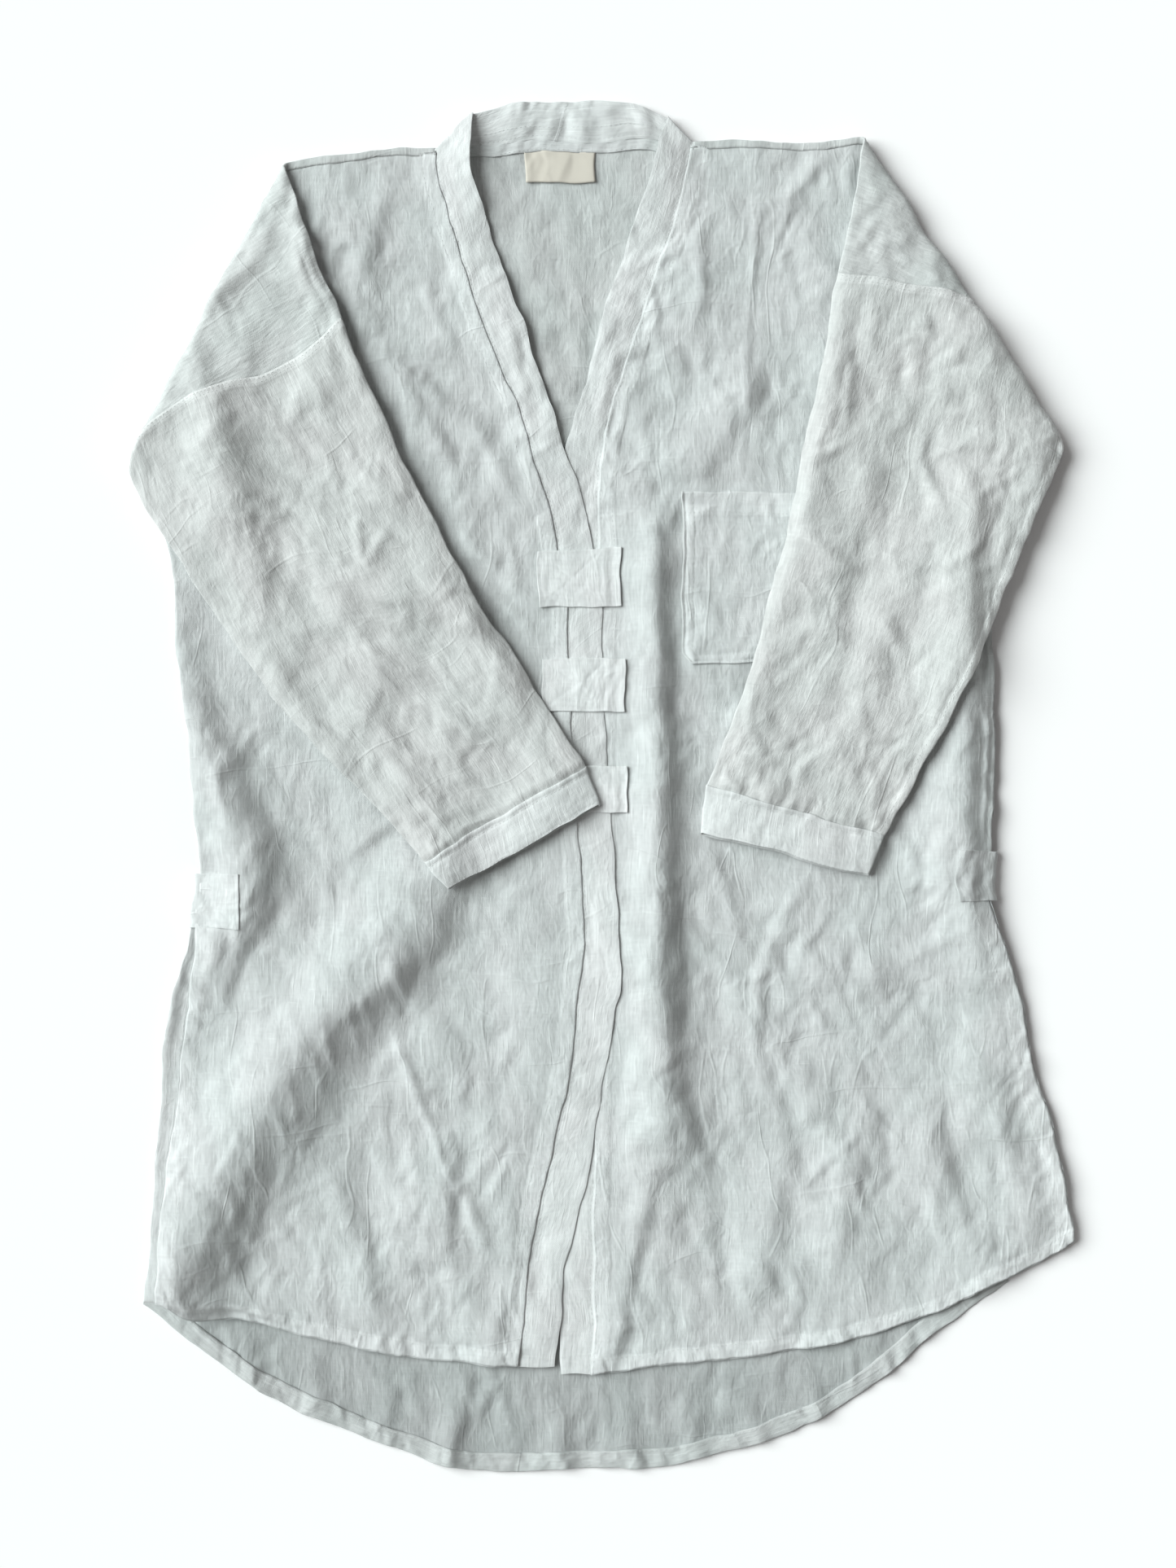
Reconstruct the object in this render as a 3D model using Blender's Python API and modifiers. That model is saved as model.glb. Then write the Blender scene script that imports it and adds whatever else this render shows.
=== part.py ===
"""Linen tunic top, laid flat on its back with both sleeves folded over the fronts.

Metres, +Z up, neck towards +Y, the wearer's right side at -X. The garment is drawn as its flat
pattern in millimetres, layer on layer, and each shoulder is then bent over its turning line, so
that the sleeves come to lie on the fronts. Cloth is a wall with a 0.3 mm gap at every seam.
"""
import math

import bmesh
import bpy
import numpy as np

MM = 0.001

# Cloth, and the heights of the middle of each layer above the surface
WALL = 1.2
SEAM_GAP = 0.3
ARMHOLE_GAP = 0.4
PITCH = WALL + SEAM_GAP
BACK_LEVEL = WALL / 2
FRONT_LEVEL = BACK_LEVEL + PITCH
OVERLAP_LEVEL = FRONT_LEVEL + PITCH
TAB_LEVEL = OVERLAP_LEVEL + PITCH
FLAP_LEVEL = TAB_LEVEL + PITCH
LABEL_WALL = 0.8

# The shoulders turn over about this height, round a mean radius
TURN_LEVEL = (FRONT_LEVEL + FLAP_LEVEL) / 2
TURN_RADIUS = TURN_LEVEL - (BACK_LEVEL + FRONT_LEVEL) / 2
TURN_STEPS = 6
OUTER_TURN = TURN_LEVEL - BACK_LEVEL + WALL / 2

# Edges where the back layer rolls over to the front layer
EDGE_ROLL = PITCH / 2
EDGE_ANGLES = np.radians([45, 90, 135])
SHOULDER_SEAM_FORWARD = 5.0
NECK_RELIEF = np.array([3.0, -1.5])

# Rows of the panels: hem to armpit, armpit to shoulder, and where the armpit lies between them
LOWER_ROWS = 14
ARMHOLE_ROWS = 8
ARMPIT_FRACTION = 0.74
NECK_COLUMNS = 6
SLEEVE_ROWS = 12
CUT_SNAP = 0.12
WELD = 0.01


def table(columns, *rows):
    """Rows of numbers with named columns, as one array for each name."""
    values = np.array(rows, float).T
    return dict(zip(columns.split(), values))


# Outline of the flat pattern, each edge from low to high or from the wearer's right to left
SIDE_RIGHT = table(
    "x y", (-287, -64), (-290, -22), (-295, 48), (-303, 100), (-307, 152), (-317, 190), (-335, 225))
SIDE_LEFT = table("x y", (273, -84), (275, -45), (278, 0), (278, 60), (275, 130), (272, 190), (272, 232))
ARMHOLE_RIGHT = table(
    "x y", (-335, 225), (-330, 251), (-329, 282), (-335, 314), (-346, 345), (-350, 380), (-345, 412))
ARMHOLE_LEFT = table(
    "x y", (272, 232), (270, 265), (266, 300), (265, 338), (267, 365), (276, 402), (284, 439))
BACK_SLIT_RIGHT = table(
    "x y", (-327, -370), (-321, -312), (-316, -242), (-310, -161), (-293, -104), (-287, -64))
BACK_SLIT_LEFT = table("x y", (289, -354), (281, -219), (275, -140), (273, -84))
FRONT_SLIT_RIGHT = table(
    "x y", (-316, -366), (-314, -332), (-308, -272), (-300, -189), (-290, -113), (-287, -64))
FRONT_SLIT_LEFT = table(
    "x y", (335, -326), (326, -272), (306, -202), (293, -138), (282, -106), (273, -84))
BACK_HEM = table(
    "x y", (-327, -370), (-297, -394), (-237, -434), (-160, -467), (-111, -484), (-26, -488),
    (60, -481), (158, -449), (230, -396), (289, -354))
FRONT_HEM_RIGHT = table("x y", (-316, -366), (-290, -380), (-204, -393), (-130, -407), (-59, -414))
FRONT_HEM_LEFT = table("x y", (-7, -419), (81, -409), (181, -393), (244, -372), (290, -350), (335, -326))
SHOULDER_RIGHT = table("x y", (-345, 412), (-300, 422), (-223, 441), (-184, 446), (-136, 452), (-118, 451))
BACK_NECK = table("x y", (-118, 451), (-88, 455), (-54, 458), (-5, 458), (42, 459), (63, 454))
SHOULDER_LEFT = table("x y", (63, 454), (107, 456), (149, 454), (184, 458), (230, 448), (284, 439))

# Neck band: its sewn edge and its free edge across the garment at each height
BAND_RIGHT = table(
    "y sewn_x free_x", (-414, -59, -34), (-340, -52, -26), (-278, -40, -12), (-210, -25, 0),
    (-138, -15, 12), (-30, -19, 6), (52, -23, 1), (123, -26, -2), (164, -31, -6), (199, -40, -14),
    (235, -50, -26), (316, -80, -53), (391, -106, -80), (430, -117, -93))
BAND_LEFT = table(
    "y sewn_x free_x", (-419, -7, -30), (-300, -7, -34), (-138, -5, -33), (36, -3, -32),
    (181, -3, -31), (238, -1, -26), (288, 13, -13), (327, 25, -2), (369, 39, 13), (430, 59, 33))
BAND_BACK_FREE = table("x y", (-92, 477), (-59, 484), (-24, 486), (16, 483), (45, 474))

# Sleeves in the flat pattern: the folded top edge and the underarm seam, shoulder to wrist
SLEEVE_TOP_RIGHT = table(
    "x y", (-345, 412), (-418, 398), (-471, 389), (-541, 381), (-630, 378), (-704, 376))
SLEEVE_UNDER_RIGHT = table(
    "x y", (-335, 225), (-432, 222), (-548, 224), (-601, 231), (-637, 238), (-695, 246))
CUFF_END_RIGHT = table("x y", (-733, 367), (-720, 249))
SLEEVE_TOP_LEFT = table("x y", (284, 439), (349, 425), (436, 408), (531, 392), (600, 386), (654, 385))
SLEEVE_UNDER_LEFT = table(
    "x y", (272, 232), (302, 236), (330, 242), (400, 245), (499, 244), (571, 249), (639, 258))
CUFF_END_LEFT = table("x y", (687, 375), (669, 256))

# Closing tabs: their edges, and where each drops off the upper band on to the left front
TABS = table(
    "left right top bottom drop_x",
    (-46, 12, 165, 124, 0),
    (-43, 16, 89, 52, 3),
    (-40, 17, 13, -22, 8))
TAB_DROP_LENGTH = 7.0

# Chest pocket, its corners in turn from the top near the band, one of them cut off
POCKET = table("x y", (57, 207), (56, 98), (68, 85), (179, 85), (179, 208))

# Tabs at the tops of the side slits, and the label behind the neck
SIDE_TAB_INNER = {"right": -258, "left": 252}
SIDE_TAB_SPAN = {"right": (-102, -64), "left": (-84, -47)}
LABEL = {"left": -56, "right": -5, "bottom": 428, "top": 447}

# Outline of the garment along each turned shoulder, from the shoulder to the armpit
TURN_LINES = {"right": ((-231, 434), (-336, 235)), "left": ((188, 455), (320, 257))}
OUTWARD = {"right": -1.0, "left": 1.0}

# Where the wearer's right front climbs on to the left one
CLIMB_START = -84.0
CLIMB_END = -50.0

# Largest folds: a crest from one point to another, its half width and its height at both
FRONT_FOLDS = table(
    "x0 y0 x1 y1 width0 width1 height0 height1",
    (-140, -68, -198, -173, 38, 48, 4, 9),
    (-198, -173, -238, -225, 48, 54, 9, 12),
    (-238, -225, -291, -300, 54, 58, 12, 17),
    (-291, -300, -318, -368, 58, 60, 17, 20),
    (36, 190, 36, 106, 17, 18, 2, 5),
    (36, 106, 36, -22, 18, 18, 5, 6),
    (36, -22, 37, -120, 18, 22, 6, 6),
    (37, -120, 40, -300, 22, 26, 6, 2))
SLEEVE_FOLDS = table(
    "x0 y0 x1 y1 width0 width1 height0 height1",
    (-206, 250, -176, 150, 20, 26, 4, 6),
    (-176, 150, -90, 50, 26, 24, 6, 4),
    (-290, 190, -240, 120, 22, 24, 4, 5),
    (-240, 120, -170, 20, 24, 22, 5, 4),
    (196, 230, 160, 60, 24, 26, 4, 5),
    (262, 170, 226, 40, 22, 22, 4, 4))

COLOURS = {
    "linen": (0.60, 0.64, 0.635, 1.0),
    "band": (0.64, 0.68, 0.675, 1.0),
    "label": (0.74, 0.70, 0.60, 1.0),
}
CLOTH_ROUGHNESS = 0.88


def corners_of(edge):
    """The places of a table of x and y, one row for each."""
    return np.column_stack((edge["x"], edge["y"]))


def soft_curve(places, fractions):
    """Places at fractions of the length of a soft curve through some places.

    Between two places the curve is a cubic, whose slope at each comes from its neighbours.
    """
    lengths = np.linalg.norm(np.diff(places, axis=0), axis=1)
    knots = np.concatenate(([0.0], np.cumsum(lengths))) / lengths.sum()
    slopes = np.gradient(places, knots, axis=0)
    index = np.clip(np.searchsorted(knots, fractions, side="right") - 1, 0, len(knots) - 2)
    span = (knots[index + 1] - knots[index])[:, None]
    t = (fractions - knots[index])[:, None] / span
    start = (2 * t**3 - 3 * t**2 + 1) * places[index] + (t**3 - 2 * t**2 + t) * span * slopes[index]
    end = (3 * t**2 - 2 * t**3) * places[index + 1] + (t**3 - t**2) * span * slopes[index + 1]
    return start + end


def unit(vectors):
    """Vectors brought to length one."""
    return vectors / np.linalg.norm(vectors, axis=-1, keepdims=True)


def smooth_step(value):
    """A soft rise from 0 to 1 as the value goes from 0 to 1."""
    t = np.clip(value, 0.0, 1.0)
    return t * t * (3.0 - 2.0 * t)


def filled_patch(low, high, first, last, u, v):
    """Coons patch between four edges: low and high run along u, first and last along v."""
    u = u[None, :, None]
    v = v[:, None, None]
    between_rows = (1 - v) * low[None] + v * high[None]
    between_columns = (1 - u) * first[:, None] + u * last[:, None]
    of_corners = (1 - v) * ((1 - u) * low[0] + u * low[-1]) + v * ((1 - u) * high[0] + u * high[-1])
    return between_rows + between_columns - of_corners


ROW_FRACTIONS = np.concatenate((
    np.linspace(0, ARMPIT_FRACTION, LOWER_ROWS + 1),
    np.linspace(ARMPIT_FRACTION, 1, ARMHOLE_ROWS + 1)[1:]))
ARMHOLE_FRACTIONS = np.linspace(0, 1, ARMHOLE_ROWS + 1)

# The columns of the left front are close together where its long fold runs down beside the band
RIGHT_COLUMNS = np.linspace(0, 1, 12)
LEFT_COLUMNS = np.concatenate((np.linspace(0, 0.23, 7), np.linspace(0.23, 1, 8)[1:]))

SIDES = {
    "right": {
        "side": SIDE_RIGHT, "armhole": ARMHOLE_RIGHT, "shoulder": SHOULDER_RIGHT, "band": BAND_RIGHT,
        "back_slit": BACK_SLIT_RIGHT, "front_slit": FRONT_SLIT_RIGHT, "front_hem": FRONT_HEM_RIGHT,
        "top": SLEEVE_TOP_RIGHT, "under": SLEEVE_UNDER_RIGHT, "cuff": CUFF_END_RIGHT,
        "columns": RIGHT_COLUMNS},
    "left": {
        "side": SIDE_LEFT, "armhole": ARMHOLE_LEFT, "shoulder": SHOULDER_LEFT, "band": BAND_LEFT,
        "back_slit": BACK_SLIT_LEFT, "front_slit": FRONT_SLIT_LEFT, "front_hem": FRONT_HEM_LEFT,
        "top": SLEEVE_TOP_LEFT, "under": SLEEVE_UNDER_LEFT, "cuff": CUFF_END_LEFT,
        "columns": LEFT_COLUMNS},
}


def side_edge(side, slit):
    """One side of a panel from hem to shoulder point, with a row at the armpit."""
    pattern = SIDES[side]
    lower = np.vstack((corners_of(pattern[slit])[:-1], corners_of(pattern["side"])))
    below = soft_curve(lower, np.linspace(0, 1, LOWER_ROWS + 1))
    above = soft_curve(corners_of(pattern["armhole"]), ARMHOLE_FRACTIONS)
    return np.vstack((below, above[1:]))


def neck_point(side):
    """Where shoulder, back neck and band meet."""
    shoulder = corners_of(SIDES[side]["shoulder"])
    return shoulder[-1] if side == "right" else shoulder[0]


def sewn_edge(side, fractions):
    """The seam between a front and its band, hem to neck point."""
    band = SIDES[side]["band"]
    places = np.column_stack((band["sewn_x"], band["y"]))
    return soft_curve(np.vstack((places, neck_point(side))), fractions)


def front_places(side):
    """Flat places of a front up to the shoulder edge, columns from the wearer's right to left."""
    pattern = SIDES[side]
    columns = pattern["columns"]
    outer = side_edge(side, "front_slit")
    inner = sewn_edge(side, ROW_FRACTIONS)
    hem = soft_curve(corners_of(pattern["front_hem"]), columns)
    shoulder = soft_curve(corners_of(pattern["shoulder"]), columns)
    first, last = (outer, inner) if side == "right" else (inner, outer)
    return filled_patch(hem, shoulder, first, last, columns, ROW_FRACTIONS)


def shoulder_fall(side):
    """The direction down each front column from the shoulder edge."""
    places = front_places(side)
    return unit(places[-2] - places[-1])


def relief(folds, x, y):
    """Height of the folds of a table at some places.

    A fold is a ridge (1 - (distance / half width) squared) squared about its crest line, and
    where two of them meet the higher one counts.
    """
    height = np.zeros_like(x)
    for row in range(len(folds["x0"])):
        fold = {name: values[row] for name, values in folds.items()}
        run_x = fold["x1"] - fold["x0"]
        run_y = fold["y1"] - fold["y0"]
        along = ((x - fold["x0"]) * run_x + (y - fold["y0"]) * run_y) / (run_x**2 + run_y**2)
        along = np.clip(along, 0.0, 1.0)
        distance = np.hypot(x - fold["x0"] - along * run_x, y - fold["y0"] - along * run_y)
        width = fold["width0"] + along * (fold["width1"] - fold["width0"])
        crest = fold["height0"] + along * (fold["height1"] - fold["height0"])
        ridge = np.clip(1.0 - (distance / width)**2, 0.0, None)**2
        height = np.maximum(height, crest * ridge)
    return height


def front_rise(places):
    """Folds of the fronts."""
    return relief(FRONT_FOLDS, places[:, 0], places[:, 1])


def overlap_rise(places):
    """Folds of the fronts, and the climb of the wearer's right front on to the left one."""
    climb = smooth_step((places[:, 0] - CLIMB_START) / (CLIMB_END - CLIMB_START))
    return front_rise(places) + PITCH * climb


def sleeve_rise(places):
    """Folds of what lies on top: those of the fronts beneath and those of the sleeves."""
    return front_rise(places) + relief(SLEEVE_FOLDS, places[:, 0], places[:, 1])


def no_rise(places):
    """A layer that lies flat."""
    return np.zeros(len(places))


def turn_plane(side):
    """A point on the turning line, and the direction across it, away from the garment."""
    start, end = (np.array(place, float) for place in TURN_LINES[side])
    run = unit(end - start)
    normal = np.array([run[1], -run[0]])
    normal *= math.copysign(1.0, normal[0]) * OUTWARD[side]
    return start - OUTER_TURN * normal, normal


def fold_over(places, side, under_rise, over_rise):
    """Bend flat places over a turning line, then raise them by the folds.

    A place at distance d beyond the line turns by d over the mean radius, up to half a turn, about
    the turning height, so its own radius is what it lies below that height. What is left of d runs
    back over the garment.
    """
    point, normal = turn_plane(side)
    across = (places[:, :2] - point) @ normal
    angle = np.clip(across / TURN_RADIUS, 0.0, math.pi)
    beyond = np.clip(across - math.pi * TURN_RADIUS, 0.0, None)
    radius = TURN_LEVEL - places[:, 2]
    moved = np.minimum(across, 0.0) + radius * np.sin(angle) - beyond
    bent = places.copy()
    bent[:, :2] += (moved - across)[:, None] * normal
    bent[:, 2] = TURN_LEVEL - radius * np.cos(angle)
    turned = (1.0 - np.cos(angle)) / 2.0
    bent[:, 2] += (1.0 - turned) * under_rise(bent) + turned * over_rise(bent)
    return bent


def add_grid(sheet, places):
    """Add a Blender grid to a mesh, its corners moved to places in rows and columns."""
    rows, columns = places.shape[:2]
    made = bmesh.ops.create_grid(sheet, x_segments=columns - 1, y_segments=rows - 1, size=1.0)
    for vertex in made["verts"]:
        column = round((vertex.co.x + 1.0) / 2.0 * (columns - 1))
        row = round((vertex.co.y + 1.0) / 2.0 * (rows - 1))
        vertex.co = places[row, column]


def raised(places, level):
    """Flat places given one height."""
    return np.concatenate((places, np.full(places.shape[:-1] + (1,), level)), axis=-1)


def cut_line(sheet, point, normal, drop_outer=False):
    """Cut a sheet by an upright plane, and drop what lies on its normal's side if asked."""
    bmesh.ops.bisect_plane(
        sheet, geom=sheet.verts[:] + sheet.edges[:] + sheet.faces[:], dist=CUT_SNAP,
        plane_co=(*point, 0.0), plane_no=(*normal, 0.0), clear_outer=drop_outer)


def place_all(sheet, change):
    """Move every corner of a sheet by a function of all their places."""
    moved = change(np.array([vertex.co for vertex in sheet.verts]))
    for vertex, place in zip(sheet.verts, moved):
        vertex.co = place


def turn_shoulder(sheet, side, under_rise, over_rise):
    """Cut a sheet into strips along its turn, then fold it over."""
    point, normal = turn_plane(side)
    for step in range(TURN_STEPS + 1):
        cut_line(sheet, point + normal * step * math.pi * TURN_RADIUS / TURN_STEPS, normal)
    place_all(sheet, lambda places: fold_over(places, side, under_rise, over_rise))


def make_cloth(name, sheet, colour, collection, wall=WALL):
    """Make an object of a sheet in millimetres, with its wall as a Solidify modifier."""
    bmesh.ops.remove_doubles(sheet, verts=sheet.verts, dist=WELD)
    bmesh.ops.recalc_face_normals(sheet, faces=sheet.faces)
    for vertex in sheet.verts:
        vertex.co *= MM
    mesh = bpy.data.meshes.new(name)
    sheet.to_mesh(mesh)
    sheet.free()
    mesh.shade_smooth()
    material = bpy.data.materials.new(name + "_cloth")
    material.use_nodes = True
    shader = material.node_tree.nodes["Principled BSDF"]
    shader.inputs["Base Color"].default_value = COLOURS[colour]
    shader.inputs["Roughness"].default_value = CLOTH_ROUGHNESS
    shader.inputs["Metallic"].default_value = 0.0
    mesh.materials.append(material)
    piece = bpy.data.objects.new(name, mesh)
    collection.objects.link(piece)
    solidify = piece.modifiers.new("Wall", "SOLIDIFY")
    solidify.thickness = wall * MM
    solidify.offset = 0.0
    solidify.use_quality_normals = True
    return piece


def back_shoulder(sheet, edge, side):
    """Roll the back over a shoulder edge and a little forward, down to the shoulder seam."""
    seam = soft_curve(corners_of(SIDES[side]["shoulder"]), SIDES[side]["columns"])
    seam += shoulder_fall(side) * SHOULDER_SEAM_FORWARD
    at_neck = -1 if side == "right" else 0
    seam[at_neck, 0] = edge[at_neck, 0]
    rows = [raised(edge, BACK_LEVEL)]
    for angle in EDGE_ANGLES:
        place = raised(edge, BACK_LEVEL + EDGE_ROLL * (1 - math.cos(angle)))
        place[:, 1] += EDGE_ROLL * math.sin(angle)
        rows.append(place)
    rows.append(raised(edge, FRONT_LEVEL))
    rows.append(raised(seam, FRONT_LEVEL))
    add_grid(sheet, np.array(rows))


def make_back(collection):
    """The back from hem to shoulders, and over each shoulder to the seam on the front."""
    right, left = SIDES["right"]["columns"], SIDES["left"]["columns"]
    right_edge = soft_curve(corners_of(SHOULDER_RIGHT), right)
    left_edge = soft_curve(corners_of(SHOULDER_LEFT), left)
    right_edge[-1] = neck_point("right") + NECK_RELIEF * (-1, 1)
    left_edge[0] = neck_point("left") + NECK_RELIEF
    neck = soft_curve(corners_of(BACK_NECK), np.linspace(0, 1, NECK_COLUMNS + 1))
    top = np.vstack((right_edge, neck[1:-1], left_edge))
    steps = np.linalg.norm(np.diff(top, axis=0), axis=1)
    columns = np.concatenate(([0.0], np.cumsum(steps))) / steps.sum()
    hem = soft_curve(corners_of(BACK_HEM), columns)
    first, last = side_edge("right", "back_slit"), side_edge("left", "back_slit")
    places = filled_patch(hem, top, first, last, columns, ROW_FRACTIONS)
    sheet = bmesh.new()
    add_grid(sheet, raised(places, BACK_LEVEL))
    back_shoulder(sheet, right_edge, "right")
    back_shoulder(sheet, left_edge, "left")
    bmesh.ops.remove_doubles(sheet, verts=sheet.verts, dist=WELD)
    turn_shoulder(sheet, "right", no_rise, front_rise)
    turn_shoulder(sheet, "left", no_rise, front_rise)
    return make_cloth("back", sheet, "linen", collection)


def flat_front(side):
    """A front in the flat pattern, its top edge at the shoulder seam."""
    places = front_places(side)
    places[-1] += shoulder_fall(side) * (SHOULDER_SEAM_FORWARD + SEAM_GAP)
    sheet = bmesh.new()
    add_grid(sheet, raised(places, FRONT_LEVEL))
    return sheet


def make_front(side, collection):
    """A front with its dropped shoulder."""
    sheet = flat_front(side)
    rise = overlap_rise if side == "right" else front_rise
    turn_shoulder(sheet, side, rise, front_rise)
    return make_cloth("front_" + side, sheet, "linen", collection)


def make_pocket(collection):
    """The chest pocket: a patch of the left front's own surface, moved out."""
    sheet = flat_front("left")
    outline = corners_of(POCKET)
    for start, end in zip(outline, np.roll(outline, -1, axis=0)):
        run = unit(end - start)
        cut_line(sheet, start, (run[1], -run[0]), drop_outer=True)
    place_all(sheet, lambda places: places + np.column_stack(
        (np.zeros((len(places), 2)), PITCH + front_rise(places))))
    return make_cloth("pocket", sheet, "linen", collection)


def band_sections(side):
    """Sewn and free edge of a band from the back of the neck to the hem, and each one's height."""
    outward = OUTWARD[side]
    half = np.linspace(0.5, 0.5 + 0.5 * outward, NECK_COLUMNS // 2 + 1)
    sewn_back = soft_curve(corners_of(BACK_NECK), half)
    free_back = soft_curve(corners_of(BAND_BACK_FREE), half)
    band = SIDES[side]["band"]
    fractions = ROW_FRACTIONS[::-1]
    sewn_front = sewn_edge(side, fractions)
    free_places = np.column_stack((band["free_x"], band["y"]))
    free_front = soft_curve(np.vstack((free_places, free_back[-1])), fractions)
    sewn_back[0, 0] += outward * SEAM_GAP / 2
    free_back[0, 0] += outward * SEAM_GAP / 2
    run = unit(free_back[-1] - sewn_back[-1])
    turn = np.array([-run[1], run[0]])
    turn *= math.copysign(1.0, turn[0]) * outward
    rolled = turn * EDGE_ROLL * np.sin(EDGE_ANGLES)[:, None]
    sewn = np.vstack((sewn_back, sewn_back[-1] + rolled, sewn_front))
    free = np.vstack((free_back, free_back[-1] + rolled, free_front))
    height = np.concatenate((
        np.full(len(sewn_back), BACK_LEVEL),
        BACK_LEVEL + EDGE_ROLL * (1 - np.cos(EDGE_ANGLES)),
        np.full(len(sewn_front), FRONT_LEVEL)))
    on_front = np.arange(len(sewn)) >= len(sewn_back) + len(EDGE_ANGLES)
    return sewn, free, height, on_front


def make_band(side, collection):
    """Half of the neck band: flat behind the neck, turned at the shoulder, down the front."""
    sewn, free, height, on_front = band_sections(side)
    sewn = sewn + unit(free - sewn) * SEAM_GAP
    across = np.linspace(0, 1, 3)[None, :, None]
    flat = sewn[:, None] * (1 - across) + free[:, None] * across
    level = np.broadcast_to(height[:, None, None], flat.shape[:2] + (1,))
    places = np.concatenate((flat, level), axis=-1)
    rise = overlap_rise if side == "right" else front_rise
    climb = rise(places.reshape(-1, 3)).reshape(flat.shape[:2])
    places[..., 2] += climb * on_front[:, None]
    sheet = bmesh.new()
    add_grid(sheet, places)
    return make_cloth("neck_band_" + side, sheet, "band", collection)


def sleeve_tube(start, end, top, under, across, along, side):
    """A flattened tube between two open ends, its two layers joined by a roll at each edge.

    Its rings run down the front layer from the top edge to the underarm seam, round, and back up
    the back layer. Start and end run from the top edge to the underarm, top and under along.
    """
    flat = filled_patch(start, end, top, under, across, along)
    at_under = unit(flat[:, -1] - flat[:, -2])[:, None]
    at_top = unit(flat[:, 0] - flat[:, 1])[:, None]
    bulge = (EDGE_ROLL * np.sin(EDGE_ANGLES))[None, :, None]
    fall = FRONT_LEVEL - EDGE_ROLL * (1 - np.cos(EDGE_ANGLES))
    rounds = []
    ends = ((flat[:, -1:], at_under, fall), (flat[:, :1], at_top, fall[::-1]))
    for edge, direction, heights in ends:
        turn = edge + direction * bulge
        height = np.broadcast_to(heights[None, :, None], turn.shape[:2] + (1,))
        rounds.append(np.concatenate((turn, height), axis=-1))
    front = raised(flat, FRONT_LEVEL)
    back = raised(flat[:, ::-1], BACK_LEVEL)
    rings = np.concatenate((front, rounds[0], back, rounds[1], front[:, :1]), axis=1)
    sheet = bmesh.new()
    add_grid(sheet, rings)
    bmesh.ops.remove_doubles(sheet, verts=sheet.verts, dist=WELD)
    turn_shoulder(sheet, side, no_rise, sleeve_rise)
    return sheet


def make_sleeve(side, collection):
    """A sleeve and its cuff band, folded over the front together."""
    pattern = SIDES[side]
    outward = np.array([OUTWARD[side], 0.0])
    along = np.linspace(0, 1, SLEEVE_ROWS + 1)
    across = ARMHOLE_FRACTIONS
    armhole = soft_curve(corners_of(pattern["armhole"]), across)[::-1]
    armhole = armhole + outward * ARMHOLE_GAP
    top = soft_curve(corners_of(pattern["top"]), along)
    under = soft_curve(corners_of(pattern["under"]), along)
    top[0] = armhole[0]
    under[0] = armhole[-1]
    part = across[:, None]
    seam = top[-1] * (1 - part) + under[-1] * part
    sheet = sleeve_tube(armhole, seam, top, under, across, along, side)
    sleeve = make_cloth("sleeve_" + side, sheet, "linen", collection)
    end_top, end_under = corners_of(pattern["cuff"])
    end = end_top * (1 - part) + end_under * part
    step = np.array([[0.0], [1.0]])
    start = seam + outward * SEAM_GAP
    edges = [start[i] * (1 - step) + end[i] * step for i in (0, -1)]
    sheet = sleeve_tube(start, end, edges[0], edges[1], across, step[:, 0], side)
    cuff = make_cloth("cuff_" + side, sheet, "band", collection)
    return sleeve, cuff


def make_tab(number, collection):
    """A closing tab: flat on the upper band, then down on to the left front."""
    row = {name: values[number] for name, values in TABS.items()}
    x = np.concatenate((
        [row["left"], (row["left"] + row["drop_x"]) / 2],
        row["drop_x"] + TAB_DROP_LENGTH * np.linspace(0, 1, 5),
        [row["right"]]))
    y = np.linspace(row["bottom"], row["top"], 3)
    drop = smooth_step((x - row["drop_x"]) / TAB_DROP_LENGTH)
    grid_x, grid_y = np.meshgrid(x, y)
    height = np.broadcast_to(TAB_LEVEL - PITCH * drop, grid_x.shape)
    sheet = bmesh.new()
    add_grid(sheet, np.stack((grid_x, grid_y, height), axis=-1))
    return make_cloth("closure_tab_%d" % (number + 1), sheet, "band", collection)


def make_side_tab(side, collection):
    """A tab at the top of a side slit: flat on the front, and round the side edge."""
    outward = OUTWARD[side]
    low, high = SIDE_TAB_SPAN[side]
    edge = side_edge(side, "front_slit")
    y = np.linspace(low, high, 4)
    back_edge = side_edge(side, "back_slit")
    rim = outward * np.maximum(
        outward * np.interp(y, edge[:, 1], edge[:, 0]),
        outward * np.interp(y, back_edge[:, 1], back_edge[:, 0]))
    rim = rim + outward * 2 * SEAM_GAP
    inner = SIDE_TAB_INNER[side]
    columns = [np.column_stack((np.full(len(y), inner), y, np.full(len(y), OVERLAP_LEVEL)))]
    columns.append(np.column_stack(((rim + inner) / 2, y, np.full(len(y), OVERLAP_LEVEL))))
    for angle in np.linspace(0, math.pi, 7):
        x = rim + outward * PITCH * math.sin(angle)
        height = FRONT_LEVEL + PITCH * math.cos(angle)
        columns.append(np.column_stack((x, y, np.full(len(y), height))))
    sheet = bmesh.new()
    add_grid(sheet, np.array(columns).transpose(1, 0, 2))
    return make_cloth("side_tab_" + side, sheet, "band", collection)


def make_label(collection):
    """The blank woven label inside the back neck."""
    x = np.linspace(LABEL["left"], LABEL["right"], 4)
    y = np.linspace(LABEL["bottom"], LABEL["top"], 3)
    grid_x, grid_y = np.meshgrid(x, y)
    height = np.full(grid_x.shape, WALL + SEAM_GAP + LABEL_WALL / 2)
    sheet = bmesh.new()
    add_grid(sheet, np.stack((grid_x, grid_y, height), axis=-1))
    return make_cloth("neck_label", sheet, "label", collection, wall=LABEL_WALL)


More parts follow.
